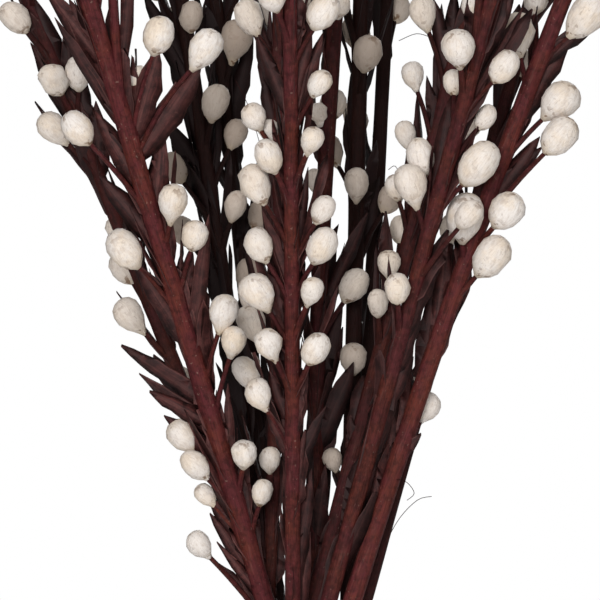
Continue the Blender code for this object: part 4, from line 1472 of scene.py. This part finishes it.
def make_pod_finish():
    material, tree, shader, place = start_material("bleached pod")
    grain_map, tone = read_growth(tree)
    grain = use_group(tree, GRAIN, Map=grain_map, Tone=tone, Around=9.0, Along=2.6, Patch=9.0)
    hue = use_group(tree, BLOTCHES, Place=place, Size=100.0, Weakest=0.0)["Share"]
    bleached = blend_colours(tree, hue, POD_WARM, POD_PALE)
    clean = blend_colours(tree, stretch(tree, tone, 0.5, 1.0), POD_CREAM, bleached)
    # Pods with a low tone, most of them on the sticks at the back, turn dark brown: partly a real stain,
    # and partly painted shade deep in the bunch.
    skin = blend_colours(tree, stretch(tree, tone, 0.0, 0.5), POD_STAIN_AND_SHADE, clean)
    line = maths(tree, "ABSOLUTE", maths(tree, "SUBTRACT", grain["Streaks"], 0.5))
    veined = blend_colours(tree, stretch(tree, line, 0.0, 0.03, 0.36, 0.0), skin, POD_VEIN)
    stained = stretch(tree, grain["Patches"], 0.33, 0.5, 0.35, 0.0)
    shaded = blend_colours(tree, stained, veined, POD_VEIN)
    drift = noise_at(tree, place, Scale=260.0, Detail=2.0)["Color"]
    pushed = {0: drift, 1: (0.004, 0.004, 0.004), 2: place}
    wandering = add(tree, "ShaderNodeVectorMath", pushed, operation="MULTIPLY_ADD").outputs[0]
    wandering_cells = {"Vector": wandering, "Scale": 430.0}
    cells = add(tree, "ShaderNodeTexVoronoi", wandering_cells, feature="DISTANCE_TO_EDGE")
    crease = stretch(tree, cells.outputs["Distance"], 0.0, 0.05, 1.0, 0.0)
    wrinkled = times(tree, crease, stretch(tree, grain["Patches"], 0.52, 0.66, 0.0, 0.8))
    # The creases of the wrinkles are darkened towards brown: painted shade in the creases.
    crease_shaded = blend_colours(tree, times(tree, wrinkled, 0.5), shaded, POD_MARK_AND_CREASE_SHADE)
    along = add(tree, "ShaderNodeSeparateXYZ", {"Vector": grain_map}).outputs["Y"]
    neck = stretch(tree, along, -0.02, 0.15, 0.6, 0.0)
    necked = blend_colours(tree, neck, crease_shaded, POD_TAN)
    off_middle = maths(tree, "ABSOLUTE", maths(tree, "SUBTRACT", along, 0.55))
    ends = stretch(tree, off_middle, 0.25, 0.5, 0.12, 0.9)
    specks = use_group(tree, SPECKS, Place=place, Size=420.0, Fewer=0.58)["Mask"]
    marks = times(tree, specks, ends)
    tree.links.new(blend_colours(tree, marks, necked, POD_MARK_AND_CREASE_SHADE), shader.inputs["Base Color"])
    shader.inputs["Roughness"].default_value = 0.6
    shader.inputs["Specular IOR Level"].default_value = 0.25
    grit = noise_at(tree, place, Scale=700.0, Detail=3.0)["Fac"]
    rough = maths(tree, "ADD", times(tree, grain["Streaks"], 0.6), times(tree, grit, 0.7))
    height = maths(tree, "SUBTRACT", rough, times(tree, wrinkled, 0.4))
    add_bump(tree, shader, height, strength=0.5, distance=0.8 * MM)
    return material


papery = make_pod_finish()
print(papery.name, len(papery.node_tree.nodes), "nodes")

# %% [markdown]
# ## Growing the sticks
#
# Each stick becomes two pieces: its wood with its leaves, and its pods, which take another finish.
# The first replaces the stick's solid. Both ride on the one body that the frame has.

# %% Sticks
# How well the dye took on each stick, from 0 for nearly black to 1 for the palest. The low tones of
# the sticks at the back are also painted shade, on their bark, their leaves and their pods.
DYE_AND_SHADE_TONES = {
    "left_front_stick": 1.0, "left_stick": 0.42, "front_stick": 0.82, "right_front_stick": 0.66,
    "right_stick": 1.0, "right_back_stick": 0.45, "back_stick": 0.06, "back_inner_stick": 0.1,
    "back_left_stick": 0.06, "left_inner_stick": 0.08, "middle_stick": 0.5, "centre_left_stick": 0.45,
    "far_right_stick": 0.3,
}

SEEN_BELOW = 0.395
FIRST_SEED = 100
STALK_TONES = (0.6, 1.0)
SPRIG_LEAF_TONES = (0.45, 1.0)
LEAF_TONES = (0.3, 1.0)
PALEST_STAIN_AND_SHADE = 0.8

for number, name in enumerate(STICKS):
    chance = random.Random(FIRST_SEED + number)
    wood, pods = start_growth(), start_growth()
    tone = DYE_AND_SHADE_TONES[name]
    # The pods take their stain and their painted shade from the stick's tone.
    stain_and_shade = PALEST_STAIN_AND_SHADE * tone ** 0.5
    add_stem(wood, name, tone)
    for sprig in layout.sprigs[name]:
        add_stalk(wood, sprig, tone * chance.uniform(*STALK_TONES), name)
        if sprig.leaf:
            add_leaf(wood, sprig.leaf, tone * chance.uniform(*SPRIG_LEAF_TONES), chance)
        middle = (sprig.pod_base + sprig.pod_tip) / 2
        directions = add_pod(pods, sprig, middle.z < SEEN_BELOW, stain_and_shade, chance)
        if chance.random() < CUP_SHARE:
            add_cup(pods, sprig, *directions, chance)
    for points in WISPS.get(name, ()):
        add_wisp(wood, name, points, WISP_TONE)
    for leaf in layout.leaves[name]:
        add_leaf(wood, leaf, tone * chance.uniform(*LEAF_TONES), chance)
    wood_piece = make_piece(wood.shape, name + "_wood", [bark, leafy])
    pods_piece = make_piece(pods.shape, name + "_pods", [papery])
    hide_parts(name)
    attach(wood_piece, "root")
    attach(pods_piece, "root")
    print(name, len(wood_piece.data.polygons), "faces of wood,", len(pods_piece.data.polygons), "of pods")

# %% [markdown]
# ## The vase
#
# A plain clay vase is matt and unmarked, with a fine speckle and faint rings from the wheel. A wave
# texture in bands up the piece gives the rings, and it only dents the surface through the bump.

# %% Clay
CLAY_DARK = (0.60, 0.56, 0.50)
CLAY_PALE = (0.68, 0.64, 0.585)
CLAY_SPECK = (0.25, 0.20, 0.15)


def make_clay():
    material, tree, shader, place = start_material("matt clay")
    clouds = stretch(tree, noise_at(tree, place, Scale=28.0, Detail=5.0)["Fac"], 0.35, 0.7)
    body = blend_colours(tree, clouds, CLAY_DARK, CLAY_PALE)
    specks = use_group(tree, SPECKS, Place=place, Size=800.0, Fewer=0.66)["Mask"]
    speckled = times(tree, specks, 0.45)
    tree.links.new(blend_colours(tree, speckled, body, CLAY_SPECK), shader.inputs["Base Color"])
    turned = {"Vector": place, "Scale": 55.0, "Distortion": 1.2, "Detail": 2.0}
    rings = add(tree, "ShaderNodeTexWave", turned, wave_type="BANDS", bands_direction="Z")
    grit = noise_at(tree, place, Scale=1400.0, Detail=2.0)["Fac"]
    height = maths(tree, "ADD", times(tree, rings.outputs["Fac"], 0.5), grit)
    shader.inputs["Roughness"].default_value = 0.6
    add_bump(tree, shader, height, strength=0.25, distance=0.3 * MM)
    return material


clay = make_clay()
print(clay.name, len(clay.node_tree.nodes), "nodes")

# %% [markdown]
# The vase is turned, on a wheel and here: its outline is drawn from the middle of its floor, up the
# inside, over the lip and down to the foot, and spun round the upright axis in 96 steps. A screw
# modifier would do the same, but a spin leaves a plain mesh whose doubles can be merged at once.

# %% Vase
# The outside from the foot to the lip, as (radius, height) in metres.
OUTSIDE = (
    (0.041, 0.0), (0.046, 0.003), (0.055, 0.018), (0.0615, 0.060), (0.050, 0.102),
    (0.0315, 0.132), (0.0265, 0.150), (0.0275, 0.165), (0.0310, 0.1740))
OUTLINE_STEPS = 6
TURNS = 96
WELD = 0.00001

shape = bmesh.new()
lip = ((INSIDE[-1][0] + OUTSIDE[-1][0]) / 2, RIM_Z)
inner = smooth_curve(INSIDE, OUTLINE_STEPS)
outer = smooth_curve((*OUTSIDE, lip), OUTLINE_STEPS)
outline = [(0.0, FLOOR_Z), *inner, *reversed(outer), (0.0, 0.0)]
points = [shape.verts.new((radius, 0, z)) for radius, z in outline]
edges = [shape.edges.new(pair) for pair in zip(points, points[1:])]
bmesh.ops.spin(shape, geom=points + edges, axis=(0, 0, 1), cent=(0, 0, 0), steps=TURNS, angle=math.tau,
               use_merge=True)
bmesh.ops.remove_doubles(shape, verts=shape.verts, dist=WELD)
bmesh.ops.recalc_face_normals(shape, faces=shape.faces)
for face in shape.faces:
    face.smooth = True
vase = make_piece(shape, "turned_vase", [clay])
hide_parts("vase")
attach(vase, "root")
print("vase", len(vase.data.polygons), "faces")

# %% [markdown]
# ## Floor, light and camera
#
# The bunch stands in front of pure white, and the floor is only there for its shadow. A floor that
# ended at a hard line would show in the side views, so it fades out with the distance from the
# middle, through the alpha of its finish.

# %% Floor
FLOOR_SIZE = 9.0
FLOOR_FADE = (0.45, 1.75)
FLOOR_PALE = (0.88, 0.88, 0.88, 1)

bpy.ops.mesh.primitive_plane_add(size=FLOOR_SIZE, location=(0, 0, 0))
floor = bpy.context.object
floor.name = "floor"
floor_finish, floor_tree, floor_shader, floor_place = start_material("pale floor")
floor_shader.inputs["Base Color"].default_value = FLOOR_PALE
floor_shader.inputs["Roughness"].default_value = 0.9
away = add(floor_tree, "ShaderNodeVectorMath", {0: floor_place}, operation="LENGTH").outputs["Value"]
floor_tree.links.new(stretch(floor_tree, away, *FLOOR_FADE, 1.0, 0.0), floor_shader.inputs["Alpha"])
floor.data.materials.append(floor_finish)
print("floor fades out from", FLOOR_FADE[0], "m to", FLOOR_FADE[1], "m")

# %% [markdown]
# The camera's side is lit softly from the front. A wide light above the camera keeps the pods bright
# and lets the sticks behind fall dark. A large one high up and one behind light the floor and the
# far side for other views. The world is white to the camera, and dimmer to everything else, so that
# it fills the shadows only a little. A Light Path node tells the two apart.

# %% Light
AIM = (0, 0, 0.3)
SKY_FILL = 0.12


def add_light(name, place, size, power):
    light = bpy.data.lights.new(name, "AREA")
    light.shape = "DISK"
    light.size = size
    light.energy = power
    lamp = bpy.data.objects.new(name, light)
    bpy.context.scene.collection.objects.link(lamp)
    lamp.location = place
    lamp.rotation_euler = (Vector(AIM) - Vector(place)).to_track_quat("-Z", "Y").to_euler()


add_light("front light", place=(-0.30, -1.9, 0.62), size=0.8, power=28.5)
add_light("fill light", place=(0.8, -1.6, 0.45), size=1.0, power=5)
add_light("back light", place=(0.3, 1.6, 0.9), size=1.0, power=13)
add_light("overhead light", place=(0, -0.3, 3.0), size=3.0, power=24)

world = bpy.data.worlds.new("white room")
bpy.context.scene.world = world
world.use_nodes = True
sky = world.node_tree
sky.nodes.clear()
seen = add(sky, "ShaderNodeLightPath").outputs["Is Camera Ray"]
strength = stretch(sky, seen, 0.0, 1.0, SKY_FILL, 1.0)
background = add(sky, "ShaderNodeBackground", {"Color": (1, 1, 1, 1), "Strength": strength})
add(sky, "ShaderNodeOutputWorld", {"Surface": background.outputs[0]})
print("lights", len(bpy.data.lights))

# %% [markdown]
# The photograph is close and flat, so the camera stands two metres off with a long lens, level with
# the middle of the picture. The lens follows from the width that the picture shows at the vase. The
# Standard view keeps white paper white.

# %% Camera
FRAME_WIDTH = 0.1714
FRAME_MIDDLE = (-0.0023, 0.2877)
CAMERA_DISTANCE = 2.0
SENSOR = 36.0
FAR_CLIP = 20

camera = bpy.data.cameras.new("camera")
camera.sensor_width = SENSOR
camera.lens = SENSOR * CAMERA_DISTANCE / FRAME_WIDTH
camera.clip_end = FAR_CLIP
viewer = bpy.data.objects.new("camera", camera)
bpy.context.scene.collection.objects.link(viewer)
viewer.location = (FRAME_MIDDLE[0], -CAMERA_DISTANCE, FRAME_MIDDLE[1])
viewer.rotation_euler = (math.radians(90), 0, 0)
bpy.context.scene.camera = viewer
bpy.context.scene.view_settings.view_transform = "Standard"
print("lens", round(camera.lens), "mm")
